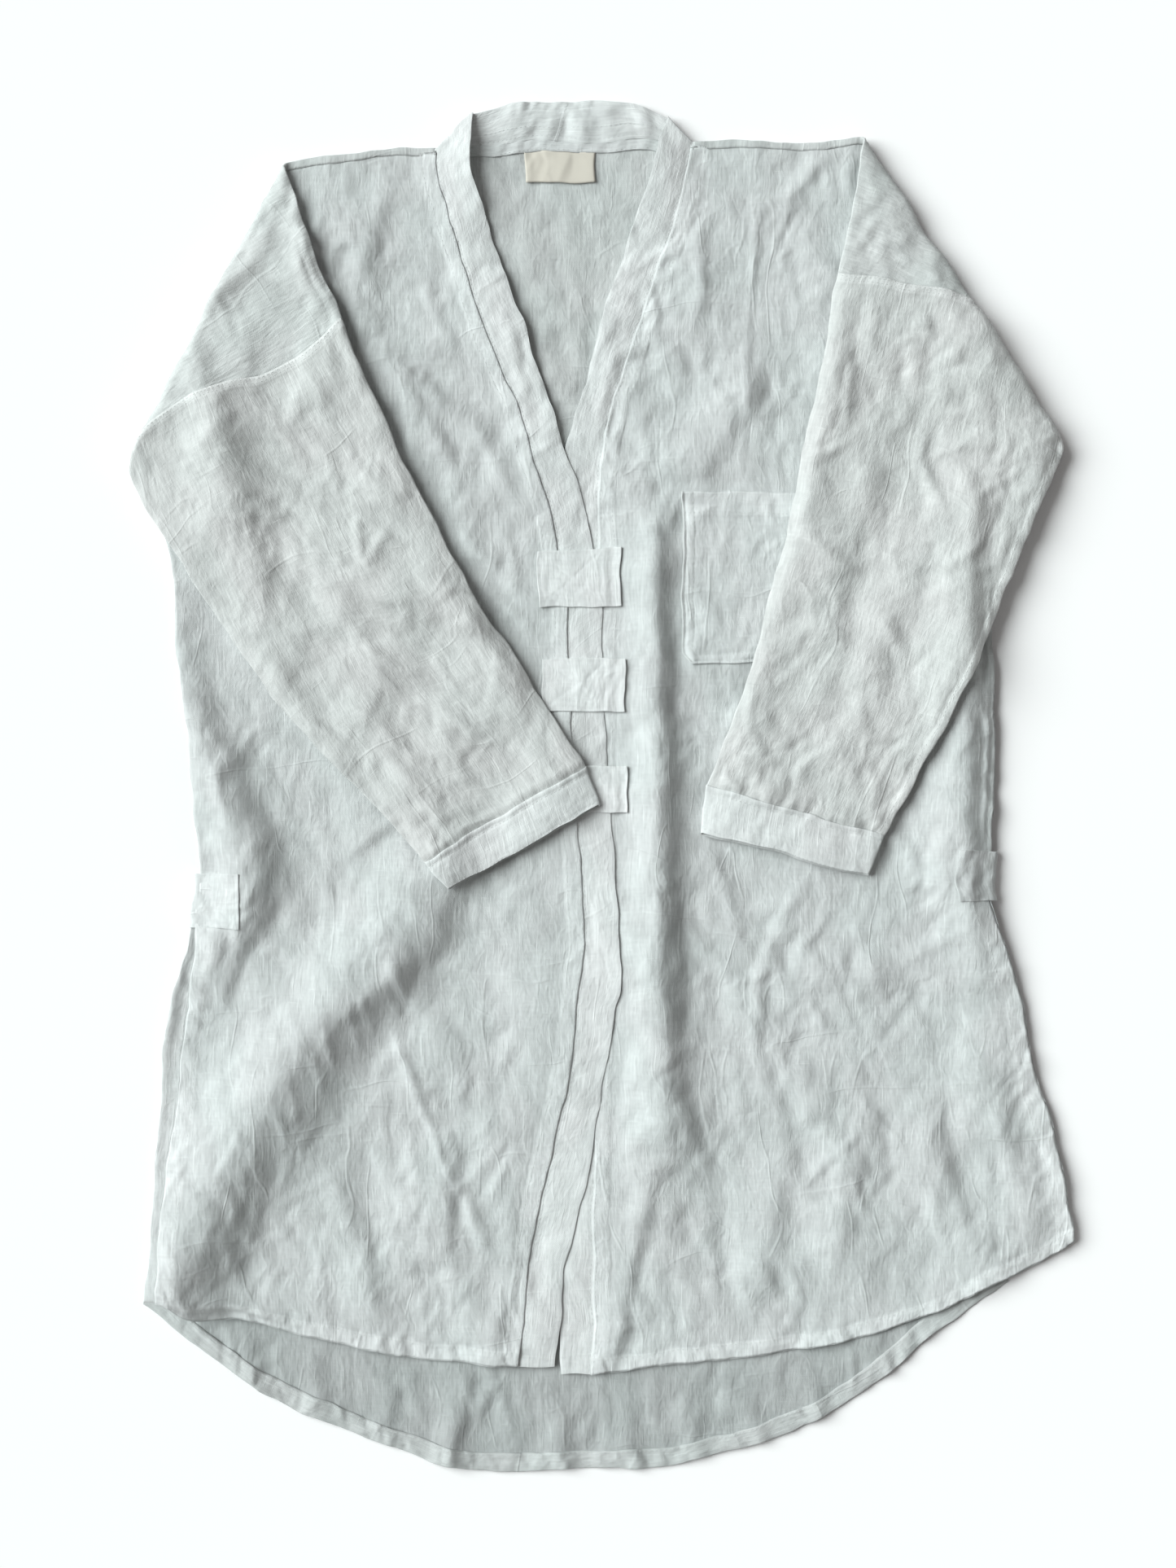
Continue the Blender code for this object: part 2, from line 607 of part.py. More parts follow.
def build_tunic():
    """Clear the scene and make every piece of the tunic."""
    for old in list(bpy.data.objects):
        bpy.data.objects.remove(old, do_unlink=True)
    collection = bpy.data.collections.new("tunic_top")
    bpy.context.scene.collection.children.link(collection)
    make_back(collection)
    for side in ("right", "left"):
        make_front(side, collection)
        make_band(side, collection)
        make_sleeve(side, collection)
        make_side_tab(side, collection)
    make_pocket(collection)
    for number in range(len(TABS["left"])):
        make_tab(number, collection)
    make_label(collection)


build_tunic()
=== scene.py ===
import math

import bpy
import numpy as np
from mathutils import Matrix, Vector


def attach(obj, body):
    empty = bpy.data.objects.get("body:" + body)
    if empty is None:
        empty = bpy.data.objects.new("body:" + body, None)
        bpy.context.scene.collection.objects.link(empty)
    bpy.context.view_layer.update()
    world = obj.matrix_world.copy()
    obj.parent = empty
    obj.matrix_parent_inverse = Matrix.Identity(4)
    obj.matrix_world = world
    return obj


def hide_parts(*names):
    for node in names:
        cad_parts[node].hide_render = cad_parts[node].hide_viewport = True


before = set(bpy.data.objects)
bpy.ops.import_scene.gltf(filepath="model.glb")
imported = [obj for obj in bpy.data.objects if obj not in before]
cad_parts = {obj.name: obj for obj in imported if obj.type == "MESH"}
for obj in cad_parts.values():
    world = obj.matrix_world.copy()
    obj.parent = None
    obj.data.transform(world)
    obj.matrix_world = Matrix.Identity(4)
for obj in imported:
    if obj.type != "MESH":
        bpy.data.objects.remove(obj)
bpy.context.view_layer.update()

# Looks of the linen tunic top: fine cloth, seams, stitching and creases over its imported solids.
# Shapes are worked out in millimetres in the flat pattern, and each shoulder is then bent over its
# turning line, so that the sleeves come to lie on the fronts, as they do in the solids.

MM = 0.001

# Cloth: one ply, a doubled ply as in the bands and tabs, and the height of a stitched-down ply
CLOTH = 0.5
DOUBLED = 1.0
PLY_STEP = 0.45

# Heights of the middle of each layer above the surface, as in the solids
PITCH = 1.5
BACK_LEVEL = 0.6
FRONT_LEVEL = BACK_LEVEL + PITCH
OVERLAP_LEVEL = FRONT_LEVEL + PITCH
TAB_LEVEL = OVERLAP_LEVEL + PITCH
FLAP_LEVEL = TAB_LEVEL + PITCH

# The shoulders turn over about this height, round a mean radius
TURN_LEVEL = (FRONT_LEVEL + FLAP_LEVEL) / 2
TURN_RADIUS = TURN_LEVEL - (BACK_LEVEL + FRONT_LEVEL) / 2
OUTER_TURN = TURN_LEVEL
EDGE_ROLL = PITCH / 2
EDGE_ANGLES = np.radians([25, 50, 75, 105, 130, 155])

# Sewing
SEAM_LAP = 1.2
HEM = 10.5
BACK_HEM_DEPTH = 12.5
SLIT_HEM = 13.5
BAND_ALLOWANCE = 11.5
ARMHOLE_FELL = 6.0
SHOULDER_SEAM_FORWARD = 5.0
UNDERARM_FELL = {"right": 0.0, "left": 6.0}
NECK_STRIP = 9.5
CUFF_PEEP = 1.6
STITCH_INSET = 1.6
STITCH_LENGTH = 2.5
STITCH_GAP = 0.8
THREAD = 0.34
BAND_LAP = 1.6
BAND_STEP = 0.6
NECK_MIDDLE = 0.47

# How far the fronts and the turned-over cloth stand off what they lie on, and how full the sleeves are
FRONT_LOFT = 1.9
TOP_LOFT = 1.8
SLEEVE_PUFF = 2.4
SWELL = 3.6
PRINT_THROUGH = 0.3
FRONT_CRUMPLE = 2.3
TOP_CRUMPLE = 2.1

# Chest pocket: its height above the front, its rows of stitches from the edge, its top hem
POCKET_LIFT = 1.0
POCKET_STITCHES = (1.4, 7.4)
POCKET_HEM = 16.0


def table(columns, *rows):
    """Rows of numbers with named columns, as one array for each name."""
    values = np.array(rows, float).T
    return dict(zip(columns.split(), values))


# Outline of the flat pattern, each edge from low to high or from the wearer's right to left
SIDE_RIGHT = table(
    "x y", (-287, -64), (-290, -22), (-295, 48), (-303, 100), (-307, 152), (-317, 190), (-335, 225))
SIDE_LEFT = table("x y", (273, -84), (275, -45), (278, 0), (278, 60), (275, 130), (272, 190), (272, 232))
ARMHOLE_RIGHT = table(
    "x y", (-335, 225), (-330, 251), (-329, 282), (-335, 314), (-346, 345), (-350, 380), (-345, 412))
ARMHOLE_LEFT = table(
    "x y", (272, 232), (270, 265), (266, 300), (265, 338), (267, 365), (276, 402), (284, 439))
BACK_SLIT_RIGHT = table(
    "x y", (-327, -370), (-321, -312), (-316, -242), (-310, -161), (-293, -104), (-287, -64))
BACK_SLIT_LEFT = table("x y", (289, -354), (281, -219), (275, -140), (273, -84))
FRONT_SLIT_RIGHT = table(
    "x y", (-316, -366), (-314, -332), (-308, -272), (-300, -189), (-290, -113), (-287, -64))
FRONT_SLIT_LEFT = table(
    "x y", (335, -326), (326, -272), (306, -202), (293, -138), (282, -106), (273, -84))
BACK_HEM = table(
    "x y", (-327, -370), (-297, -394), (-237, -434), (-160, -467), (-111, -484), (-26, -488),
    (60, -481), (158, -449), (230, -396), (289, -354))
FRONT_HEM_RIGHT = table(
    "x y", (-316, -366), (-292, -378), (-262, -379), (-230, -387), (-196, -395), (-130, -407), (-59, -414))
FRONT_HEM_LEFT = table("x y", (-7, -419), (81, -409), (181, -393), (244, -372), (290, -350), (335, -326))
SHOULDER_RIGHT = table("x y", (-345, 412), (-300, 422), (-223, 441), (-184, 446), (-136, 452), (-118, 451))
BACK_NECK = table("x y", (-118, 451), (-88, 455), (-54, 458), (-5, 458), (42, 459), (63, 454))
SHOULDER_LEFT = table("x y", (63, 454), (107, 456), (149, 454), (184, 458), (230, 448), (284, 439))

# Neck band: its sewn edge and its free edge across the garment at each height
BAND_RIGHT = table(
    "y sewn_x free_x", (-414, -59, -34), (-340, -52, -26), (-278, -40, -12), (-210, -25, 0),
    (-138, -15, 12), (-30, -19, 6), (52, -23, 1), (123, -26, -2), (164, -31, -6), (199, -40, -14),
    (235, -50, -26), (316, -80, -53), (391, -106, -80), (430, -117, -93))
BAND_LEFT = table(
    "y sewn_x free_x", (-419, -7, -30), (-300, -7, -34), (-138, -5, -33), (36, -3, -32),
    (181, -3, -31), (238, -1, -26), (288, 13, -13), (327, 25, -2), (369, 39, 13), (430, 59, 33))
BAND_BACK_FREE = table("x y", (-92, 477), (-59, 484), (-24, 486), (16, 483), (45, 474))

# Sleeves in the flat pattern: the folded top edge and the underarm seam, shoulder to wrist
SLEEVE_TOP_RIGHT = table(
    "x y", (-345, 412), (-418, 398), (-471, 389), (-541, 381), (-630, 378), (-704, 376))
SLEEVE_UNDER_RIGHT = table(
    "x y", (-335, 225), (-432, 222), (-548, 224), (-601, 231), (-637, 238), (-695, 246))
CUFF_END_RIGHT = table("x y", (-733, 367), (-720, 249))
SLEEVE_TOP_LEFT = table("x y", (284, 439), (349, 425), (436, 408), (531, 392), (600, 386), (654, 385))
SLEEVE_UNDER_LEFT = table(
    "x y", (272, 232), (302, 236), (330, 242), (400, 245), (499, 244), (571, 249), (639, 258))
CUFF_END_LEFT = table("x y", (687, 375), (669, 256))

# Closing tabs: their edges, and where each drops off the upper band on to the left front
TABS = table(
    "left right top bottom drop_x",
    (-46, 12, 165, 124, 0),
    (-43, 16, 89, 52, 3),
    (-40, 17, 13, -22, 8))
TAB_DROP_LENGTH = 7.0
TAB_LIE = TAB_LEVEL
TAB_LOW = TAB_LEVEL - PITCH
TAB_LEAN = (3.5, 0.0, 0.5)

# Ripples of the band behind the neck: the place along x, the width and the height of each
NECK_RIPPLES = (
    (-104, 8, 2.2), (-60, 9, 1.3), (-14, 7, 1.0), (4, 6, 0.8), (28, 9, 1.6))

# How far the band's free edge stands up where it turns at each side of the neck
NECK_STAND = {"right": 7.0, "left": 4.0}

# Behind the neck a second row of stitches runs this far from the band's sewn edge
BAND_FACING = 10.5

# How far each half of the band rises at their joining seam, so that one laps the other
JOIN_LIFT = {"right": -0.2, "left": 0.45}

# Chest pocket: its corners in turn from the top near the band, one of them cut off
POCKET = table("x y", (57, 207), (56, 93), (62, 85.4), (179, 85), (179, 208))

# Tabs at the tops of the side slits, and the label behind the neck
SIDE_TAB_INNER = {"right": -258, "left": 252}
SIDE_TAB_SPAN = {"right": (-102, -64), "left": (-84, -47)}
SIDE_TAB_BULGE = {"right": 0.0, "left": 3.0}
SIDE_TAB_GATHER = {"right": 0.3, "left": 1.0}
# The left side tab gets no share of plies, and so the darker thin colour, as painted shade; the right one is paler as a
# doubled ply
SIDE_TAB_PLIES_AND_PAINTED_SHADE = {"right": 1.0, "left": 0.0}
LABEL = {"left": -56, "right": -5, "bottom": 428, "top": 447}

# Outline of the garment along each turned shoulder, from the shoulder to the armpit
TURN_LINES = {"right": ((-231, 434), (-336, 235)), "left": ((188, 455), (320, 257))}
OUTWARD = {"right": -1.0, "left": 1.0}

# Round corners at the armpits: the side, where the rounding starts, and the room for it
ARMPIT_CORNERS = ((1.0, 312.0, 18.0), (-1.0, 322.0, 19.0))
SLIT_TOP = {"right": -64.0, "left": -84.0}

# Where the wearer's right front climbs on to the left one
CLIMB_START = -84.0
CLIMB_END = -50.0

ARMPIT_FRACTION = 0.74

# Largest folds: a crest from one point to another, its half width and its height at both
FRONT_FOLDS = table(
    "x0 y0 x1 y1 width0 width1 height0 height1",
    (-140, -68, -198, -173, 38, 48, 4, 9),
    (-198, -173, -238, -225, 48, 54, 9, 12),
    (-238, -225, -291, -300, 54, 58, 12, 17),
    (-291, -300, -318, -368, 58, 60, 17, 20),
    (36, 190, 36, 106, 17, 18, 2, 5),
    (36, 106, 36, -22, 18, 18, 5, 6),
    (36, -22, 37, -120, 18, 22, 6, 6),
    (37, -120, 40, -300, 22, 26, 6, 2))

# Long folds: places along each crest, its height there, and the widths of its right and left slopes
SWEEP_COLUMNS = "x y height right left"
FRONT_SWEEPS = (
    table(SWEEP_COLUMNS, (-108, -50, 5, 30, 14), (-120, -95, 9, 34, 15), (-150, -132, 9.5, 36, 16),
          (-200, -168, 9, 34, 18), (-243, -225, 8, 32, 20),
          (-274, -300, 6, 25, 22), (-297, -345, 4, 16, 24), (-302, -372, 2.5, 10, 24)),
    table(SWEEP_COLUMNS, (33, 190, 0, 20, 7), (36, 150, 5, 22, 7), (40, 60, 7, 24, 8), (47, -20, 8, 26, 9),
          (43, -80, 8.5, 26, 11), (40, -142, 9.5, 28, 14), (44, -200, 9.5, 28, 17), (52, -246, 8, 26, 16),
          (74, -290, 0, 20, 12)),
    table(SWEEP_COLUMNS, (-304, 135, 0, 9, 10), (-290, 51, 7, 11, 14), (-262, -22, 11, 22, 17),
          (-249, -60, 12, 26, 18), (-268, -115, 8, 18, 16), (-284, -155, 0, 12, 10)),
    table(SWEEP_COLUMNS, (-160, 308, 0, 12, 6), (-120, 275, 3.6, 13, 6), (-88, 247, 4.2, 13, 7), (-64, 196, 0, 10, 6)),
    table(SWEEP_COLUMNS, (-176, 350, 0, 14, 8), (-150, 300, 3.4, 16, 8), (-118, 240, 3.6, 18, 8), (-86, 170, 0, 12, 8)),
    table(SWEEP_COLUMNS, (-128, 160, 0, 14, 7), (-104, 128, 3.2, 16, 7), (-72, 84, 2.6, 14, 7), (-52, 40, 0, 12, 7)),
    table(SWEEP_COLUMNS, (-150, 440, 0, 14, 8), (-162, 400, 3.0, 16, 9), (-168, 352, 2.6, 14, 9), (-160, 310, 0, 12, 8)),
    table(SWEEP_COLUMNS, (122, 322, 0, 16, 8), (96, 268, 4.2, 20, 10), (70, 228, 4.2, 18, 9), (52, 200, 0, 12, 8)),
    table(SWEEP_COLUMNS, (78, 420, 0, 14, 8), (70, 372, 2.8, 16, 9), (58, 322, 2.6, 14, 9), (44, 276, 0, 12, 8)),
    table(SWEEP_COLUMNS, (256, 215, 5, 26, 14), (256, 100, 11, 28, 11), (257, 0, 12, 28, 11),
          (254, -60, 12, 24, 12), (262, -106, 6, 18, 12), (268, -150, 0, 14, 12)),
    table(SWEEP_COLUMNS, (272, 170, 0, 1.5, 1.7), (272.5, 120, 1.5, 1.5, 1.7), (273, 40, 1.5, 1.5, 1.7),
          (270, -20, 1.5, 1.5, 1.7), (268, -48, 0, 1.5, 1.7)),
    table(SWEEP_COLUMNS, (36, -262, 0, 14, 7), (29, -302, 3.4, 16, 5), (19, -350, 4.2, 16, 4.5),
          (9, -404, 3.4, 14, 4.5)),
    table(SWEEP_COLUMNS, (-318, -356, 1, 3, 9), (-296, -368, 4, 3, 12), (-264, -370, 5.5, 3, 12),
          (-236, -378, 3, 3, 9), (-210, -386, 0, 3, 8)),
    table(SWEEP_COLUMNS, (210, -205, 0, 18, 11), (232, -260, 4.6, 20, 12), (258, -318, 4.4, 18, 12), (274, -352, 0, 12, 8)),
    table(SWEEP_COLUMNS, (262, -190, 0, 14, 9), (284, -240, 3.6, 16, 10), (304, -300, 3.4, 16, 10), (312, -340, 0, 12, 8)),
    table(SWEEP_COLUMNS, (130, -252, 0, 16, 9), (120, -296, 3.8, 20, 10), (110, -350, 3.4, 18, 10), (106, -396, 0, 12, 8)),
    table(SWEEP_COLUMNS, (192, -222, 0, 16, 9), (180, -264, 3.6, 20, 10), (166, -322, 3.2, 18, 10), (162, -372, 0, 12, 8)),
    table(SWEEP_COLUMNS, (96, -150, 0, 18, 10), (128, -196, 2.8, 20, 10), (176, -236, 2.6, 18, 10), (214, -262, 0, 14, 8)),
    table(SWEEP_COLUMNS, (-196, -252, 0, 14, 8), (-184, -306, 3.4, 18, 10), (-164, -360, 3.2, 16, 9), (-154, -402, 1, 12, 8)),
    table(SWEEP_COLUMNS, (-120, -230, 0, 14, 8), (-112, -296, 3.0, 18, 9), (-98, -356, 3.0, 16, 9), (-92, -404, 1, 12, 8)),
    table(SWEEP_COLUMNS, (-60, -250, 0, 14, 7), (-66, -310, 2.6, 16, 8), (-74, -372, 2.4, 14, 8), (-78, -406, 1, 12, 8)))
SLEEVE_SWEEPS = (
    table(SWEEP_COLUMNS, (-286, 334, 0, 16, 10), (-286, 290, 8, 22, 15), (-274, 250, 10.5, 24, 16),
          (-256, 182, 9, 22, 16), (-238, 140, 4, 18, 13), (-226, 112, 0, 14, 10)),
    table(SWEEP_COLUMNS, (-236, 170, 0, 9, 20), (-214, 160, 5.5, 11, 26), (-180, 140, 7, 12, 30),
          (-130, 126, 7, 12, 30), (-92, 116, 4.5, 11, 20), (-70, 106, 0, 8, 14)),
    table(SWEEP_COLUMNS, (-233, 430, 0, 22, 6), (-214, 388, 2.5, 30, 7), (-190, 330, 4.5, 36, 8),
          (-134, 218, 3.5, 36, 9), (-92, 138, 2.5, 30, 9), (-50, 60, 1.5, 26, 9), (-22, 12, 0, 20, 8)),
    table(SWEEP_COLUMNS, (-204, 96, 0, 18, 11), (-166, 48, 4.4, 20, 12), (-126, -14, 4.2, 20, 12), (-108, -44, 0, 14, 9)),
    table(SWEEP_COLUMNS, (-256, 120, 0, 14, 10), (-226, 74, 3.4, 16, 11), (-186, 10, 3.2, 16, 11), (-160, -30, 0, 12, 9)),
    table(SWEEP_COLUMNS, (184, 420, 0, 8, 12), (168, 350, 4, 9, 13), (160, 296, 5, 10, 14), (150, 226, 5, 10, 14),
          (128, 130, 4, 10, 15), (104, 60, 3.4, 10, 15), (90, 14, 0, 9, 10)),
    table(SWEEP_COLUMNS, (180, 432, 4, 50, 14), (224, 366, 7.5, 60, 15), (268, 302, 8, 60, 15), (306, 246, 7, 50, 14),
          (302, 204, 3.4, 36, 12), (270, 122, 2.0, 34, 11), (230, 42, 1.6, 30, 10), (206, -20, 0, 24, 10)),
    table(SWEEP_COLUMNS, (236, 214, 0, 20, 12), (214, 150, 4.8, 24, 14), (190, 80, 4.8, 24, 14), (176, 30, 0, 18, 10)),
    table(SWEEP_COLUMNS, (196, 280, 0, 16, 10), (186, 220, 3.6, 20, 12), (166, 150, 3.6, 20, 12), (150, 90, 0, 14, 9)))
BACK_SWEEPS = (
    table(SWEEP_COLUMNS, (-288, -76, 0, 2, 4), (-297, -112, 2.4, 2.5, 5), (-309, -158, 3.8, 3, 5.5),
          (-315, -215, 1.8, 3, 5), (-319, -270, 0.6, 3, 4.5), (-326, -362, 0, 3, 4)),
    table(SWEEP_COLUMNS, (-98, -420, 0, 12, 8), (-106, -455, 5, 13, 9), (-109, -492, 5.5, 13, 9)),
    table(SWEEP_COLUMNS, (-262, -378, 0, 10, 7), (-252, -402, 3.4, 11, 8), (-244, -436, 3.4, 11, 8)),
    table(SWEEP_COLUMNS, (-212, -400, 0, 10, 7), (-206, -425, 3.2, 11, 8), (-200, -456, 3.2, 11, 8)),
    table(SWEEP_COLUMNS, (-150, -410, 0, 9, 6), (-152, -440, 2.2, 10, 7), (-156, -470, 2.2, 10, 7)),
    table(SWEEP_COLUMNS, (-34, -425, 0, 9, 6), (-32, -458, 3.0, 10, 7), (-28, -492, 3.2, 10, 7)),
    table(SWEEP_COLUMNS, (16, -425, 0, 9, 6), (18, -455, 2.4, 10, 7), (22, -486, 2.4, 10, 7)),
    table(SWEEP_COLUMNS, (56, -425, 0, 8, 5), (62, -452, 2.4, 9, 6), (70, -480, 2.4, 9, 6)),
    table(SWEEP_COLUMNS, (96, -420, 0, 8, 5), (104, -444, 2.6, 9, 6), (114, -468, 2.6, 9, 6)),
    table(SWEEP_COLUMNS, (140, -412, 0, 8, 5), (150, -434, 2.4, 9, 6), (162, -456, 2.4, 9, 6)),
    table(SWEEP_COLUMNS, (186, -395, 0, 8, 5), (198, -412, 2.2, 9, 6), (208, -424, 2.2, 9, 6)))

# Creases: from one end to the other, how far the middle bows out to the right of that run, the
# widths of the right and left slopes, and the height, which is below 0 in a trough
CREASE_COLUMNS = "x0 y0 x1 y1 bow right left height"
FRONT_CREASES = table(
    CREASE_COLUMNS,
    (-157, -152, -64, -365, 6, 2.2, 4.0, 2.6),
    (-118, -236, -96, -302, -3, 2.4, 4.0, 1.8),
    (-105, 187, -30, 112, 4, 5, 8, 2.4),
    (-95, 150, -44, 96, -3, 3, 5, 1.8),
    (127, 407, 168, 451, -4, 4, 7, 2.2),
    (111, 422, 100, 211, 3, 2.2, 3.0, 1.4),
    (-160, -120, -90, -230, -5, 7, 10, 1.8),
    (-100, -260, -96, -380, 4, 6, 7, -1.8),
    (-170, -250, -150, -390, 5, 7, 8, -1.6),
    (-40, -300, -46, -380, 3, 5, 6, -1.6),
    (135, -295, 225, -330, -6, 6, 8, -1.7),
    (232, -60, 262, -108, -6, 5, 7, 2.6),
    (205, -30, 258, -90, 5, 5, 6, 2.4),
    (198, -64, 246, -72, 4, 4, 6, 1.8),
    (212, -128, 262, -108, -4, 4, 6, 1.6),
    (120, -180, 160, -300, 5, 7, 9, -1.9),
    (75, -250, 90, -380, -4, 6, 8, -1.9),
    (240, -200, 270, -330, 4, 6, 7, -1.7),
    (176, -212, 222, -265, 3, 2.4, 4, 1.8),
    (230, -286, 249, -337, 3, 2.4, 4, 1.8),
    (71, -87, 78, -101, 1, 2, 3, 1.5),
    (143, -284, 157, -267, 1, 2.4, 3.5, 1.6),
    (-230, -30, -180, -110, 6, 12, 14, -2.0),
    (-255, -90, -225, -160, 4, 9, 10, 1.8),
    (-276, 20, -262, -40, 2, 2.5, 4, 1.6),
    (-282, 40, -254, 12, 2, 2.5, 4, 1.4),
    (-218, 330, -150, 270, 8, 5, 7, 2.0),
    (-130, 360, -96, 300, 5, 4, 6, 1.6),
    (-70, 330, -48, 268, 3, 3, 5, 1.4),
    (60, 330, 90, 262, 4, 4, 6, 1.6),
    (20, 230, 52, 214, -3, 3, 5, 1.4),
    (96, 60, 84, 4, 3, 4, 6, 1.6),
    (68, -40, 96, -120, -5, 4, 6, 1.8),
    (150, -60, 110, -150, 6, 5, 7, 1.6),
    (180, -90, 205, -170, 4, 4, 6, 1.5),
    (-190, -60, -130, -20, -4, 5, 7, 1.6),
    (-148, -124, -138, -156, 2, 2.0, 3.4, 1.7),
    (-159, -138, -147, -170, -2, 2.0, 3.4, 1.7),
    (-172, -146, -162, -180, 2, 2.0, 3.4, 1.7),
    (-184, -158, -172, -194, -2, 2.0, 3.4, 1.7),
    (-197, -172, -188, -206, 2, 2.0, 3.4, 1.7),
    (-208, -188, -200, -224, -2, 2.0, 3.4, 1.6),
    (-222, -206, -214, -242, 2, 2.0, 3.4, 1.6),
    (-234, -226, -226, -258, -2, 2.0, 3.4, 1.5),
    (-248, -250, -240, -284, 2, 2.0, 3.4, 1.5),
    (94, -142, 122, -128, 2, 2.0, 3.6, 1.3),
    (112, -160, 138, -190, -2, 2.0, 3.6, 1.4),
    (146, -150, 160, -178, 2, 2.0, 3.6, 1.4),
    (84, -186, 108, -214, -2, 2.0, 3.6, 1.4),
    (132, -206, 122, -238, 2, 2.0, 3.6, 1.4),
    (160, -196, 190, -214, -2, 2.0, 3.6, 1.3),
    (70, -226, 84, -262, 2, 2.0, 3.6, 1.4),
    (148, -246, 176, -262, -2, 2.0, 3.6, 1.3),
    (60, -300, 78, -336, 2, 2.0, 3.6, 1.3),
    (86, -330, 98, -362, -2, 2.0, 3.6, 1.3),
    (140, -330, 150, -366, 2, 2.0, 3.6, 1.3),
    (200, -300, 212, -336, -2, 2.0, 3.6, 1.3),
    (-140, -250, -128, -290, 2, 2.0, 3.6, 1.3),
    (-176, -300, -168, -338, -2, 2.0, 3.6, 1.3),
    (-128, -330, -118, -368, 2, 2.0, 3.6, 1.3),
    (-210, -320, -200, -356, -2, 2.0, 3.6, 1.3))
BACK_CREASES = table(
    CREASE_COLUMNS,
    (-292, -384, -262, -408, 2, 1.8, 3.4, 1.4),
    (-272, -380, -264, -412, -2, 2.0, 3.6, 1.6),
    (-232, -396, -222, -436, 3, 2.0, 4.0, 1.6),
    (-186, -400, -190, -452, -3, 2.0, 4.0, 1.4),
    (-172, -404, -140, -440, 4, 2.2, 4.0, 1.4),
    (-136, -408, -128, -462, 3, 2.2, 4.2, 1.6),
    (-84, -412, -66, -470, -4, 2.2, 4.2, 1.8),
    (-74, -420, -92, -462, 3, 2.0, 3.6, 1.4),
    (-58, -418, -50, -470, 3, 2.0, 4.0, 1.4),
    (-8, -420, 2, -474, -3, 2.2, 4.2, 1.8),
    (36, -416, 40, -470, 3, 2.2, 4.2, 1.6),
    (84, -412, 88, -462, -3, 2.2, 4.0, 1.6),
    (128, -404, 122, -450, 3, 2.0, 4.0, 1.4),
    (172, -396, 176, -436, -3, 2.0, 3.8, 1.4),
    (-96, 430, -70, 392, 4, 2.6, 5.0, 1.2),
    (-10, 420, 22, 400, -3, 2.6, 5.0, 1.2),
    (-60, 392, -30, 330, 5, 3.0, 6.0, 1.2),
    (-48, 300, -34, 240, -3, 2.6, 5.0, 1.2),
    (-30, 372, -14, 318, -4, 2.6, 5.0, 1.0))
TOP_CREASES = table(
    CREASE_COLUMNS,
    (-216, 396, -184, 318, 2, 1.3, 1.8, 1.5),
    (-221, 390, -190, 316, 2, 1.3, 1.8, 1.0),
    (-175, 190, -170, 152, 0, 2.6, 5, 2.4),
    (-170, 152, -150, 182, 0, 4, 2.6, 2.2),
    (-200, 160, -140, 60, 8, 8, 10, 2.2),
    (-215, 400, -200, 330, 6, 5, 8, 2.4),
    (-238, 402, -262, 352, -5, 5, 7, 2.4),
    (-246, 372, -286, 322, 5, 4, 6, 1.8),
    (-190, 350, -150, 240, 4, 6, 8, 1.8),
    (-214, 308, -188, 262, 4, 3, 5, 1.8),
    (-206, 240, -184, 204, -3, 3, 5, 1.6),
    (-262, 214, -216, 186, 4, 4, 6, 1.6),
    (-300, 250, -268, 214, -4, 4, 6, 1.6),
    (-172, 100, -122, 76, 4, 3, 5, 1.8),
    (-138, 60, -84, 30, -4, 3, 5, 1.8),
    (-120, 96, -96, 58, 3, 3, 4, 1.6),
    (-170, 20, -130, -30, 4, 4, 6, 1.6),
    (179, 320, 197, 309, 2, 3, 5, 2.0),
    (176, 303, 173, 245, 2, 3, 5, 1.8),
    (200, 372, 250, 344, -4, 4, 6, 1.8),
    (214, 330, 262, 300, 4, 4, 6, 1.8),
    (240, 262, 282, 246, -3, 3, 5, 1.6),
    (226, 236, 246, 184, 3, 4, 6, 1.8),
    (90, 20, 120, -20, -5, 5, 7, 2.6),
    (84, 10, 100, -6, 3, 3, 5, 2.0),
    (230, 300, 250, 180, 5, 7, 9, -2.2),
    (180, 150, 160, 20, -5, 7, 9, -2.0),
    (142, 176, 188, 146, 4, 3, 5, 1.8),
    (132, 112, 176, 96, -3, 3, 5, 1.6),
    (160, 60, 206, 30, 4, 4, 6, 1.8),
    (196, 120, 222, 84, 3, 3, 5, 1.6))


def corners_of(edge):
    """The places of a table of x and y, one row for each."""
    return np.column_stack((edge["x"], edge["y"]))


def unit(vectors):
    """Vectors brought to length one."""
    return vectors / np.linalg.norm(vectors, axis=-1, keepdims=True)


def smooth_step(value):
    """3 t squared - 2 t cubed of the value held between 0 and 1."""
    t = np.clip(value, 0.0, 1.0)
    return t * t * (3.0 - 2.0 * t)


def soft_curve(places, fractions):
    """Places at fractions of the length of a soft curve through some places.

    Between two places the curve is the cubic of their places and slopes, and each slope is taken
    from the neighbours on both sides.
    """
    lengths = np.linalg.norm(np.diff(places, axis=0), axis=1)
    knots = np.concatenate(([0.0], np.cumsum(lengths))) / lengths.sum()
    slopes = np.gradient(places, knots, axis=0)
    index = np.clip(np.searchsorted(knots, fractions, side="right") - 1, 0, len(knots) - 2)
    span = (knots[index + 1] - knots[index])[:, None]
    t = (fractions - knots[index])[:, None] / span
    start = (2 * t**3 - 3 * t**2 + 1) * places[index] + (t**3 - 2 * t**2 + t) * span * slopes[index]
    end = (3 * t**2 - 2 * t**3) * places[index + 1] + (t**3 - t**2) * span * slopes[index + 1]
    return start + end


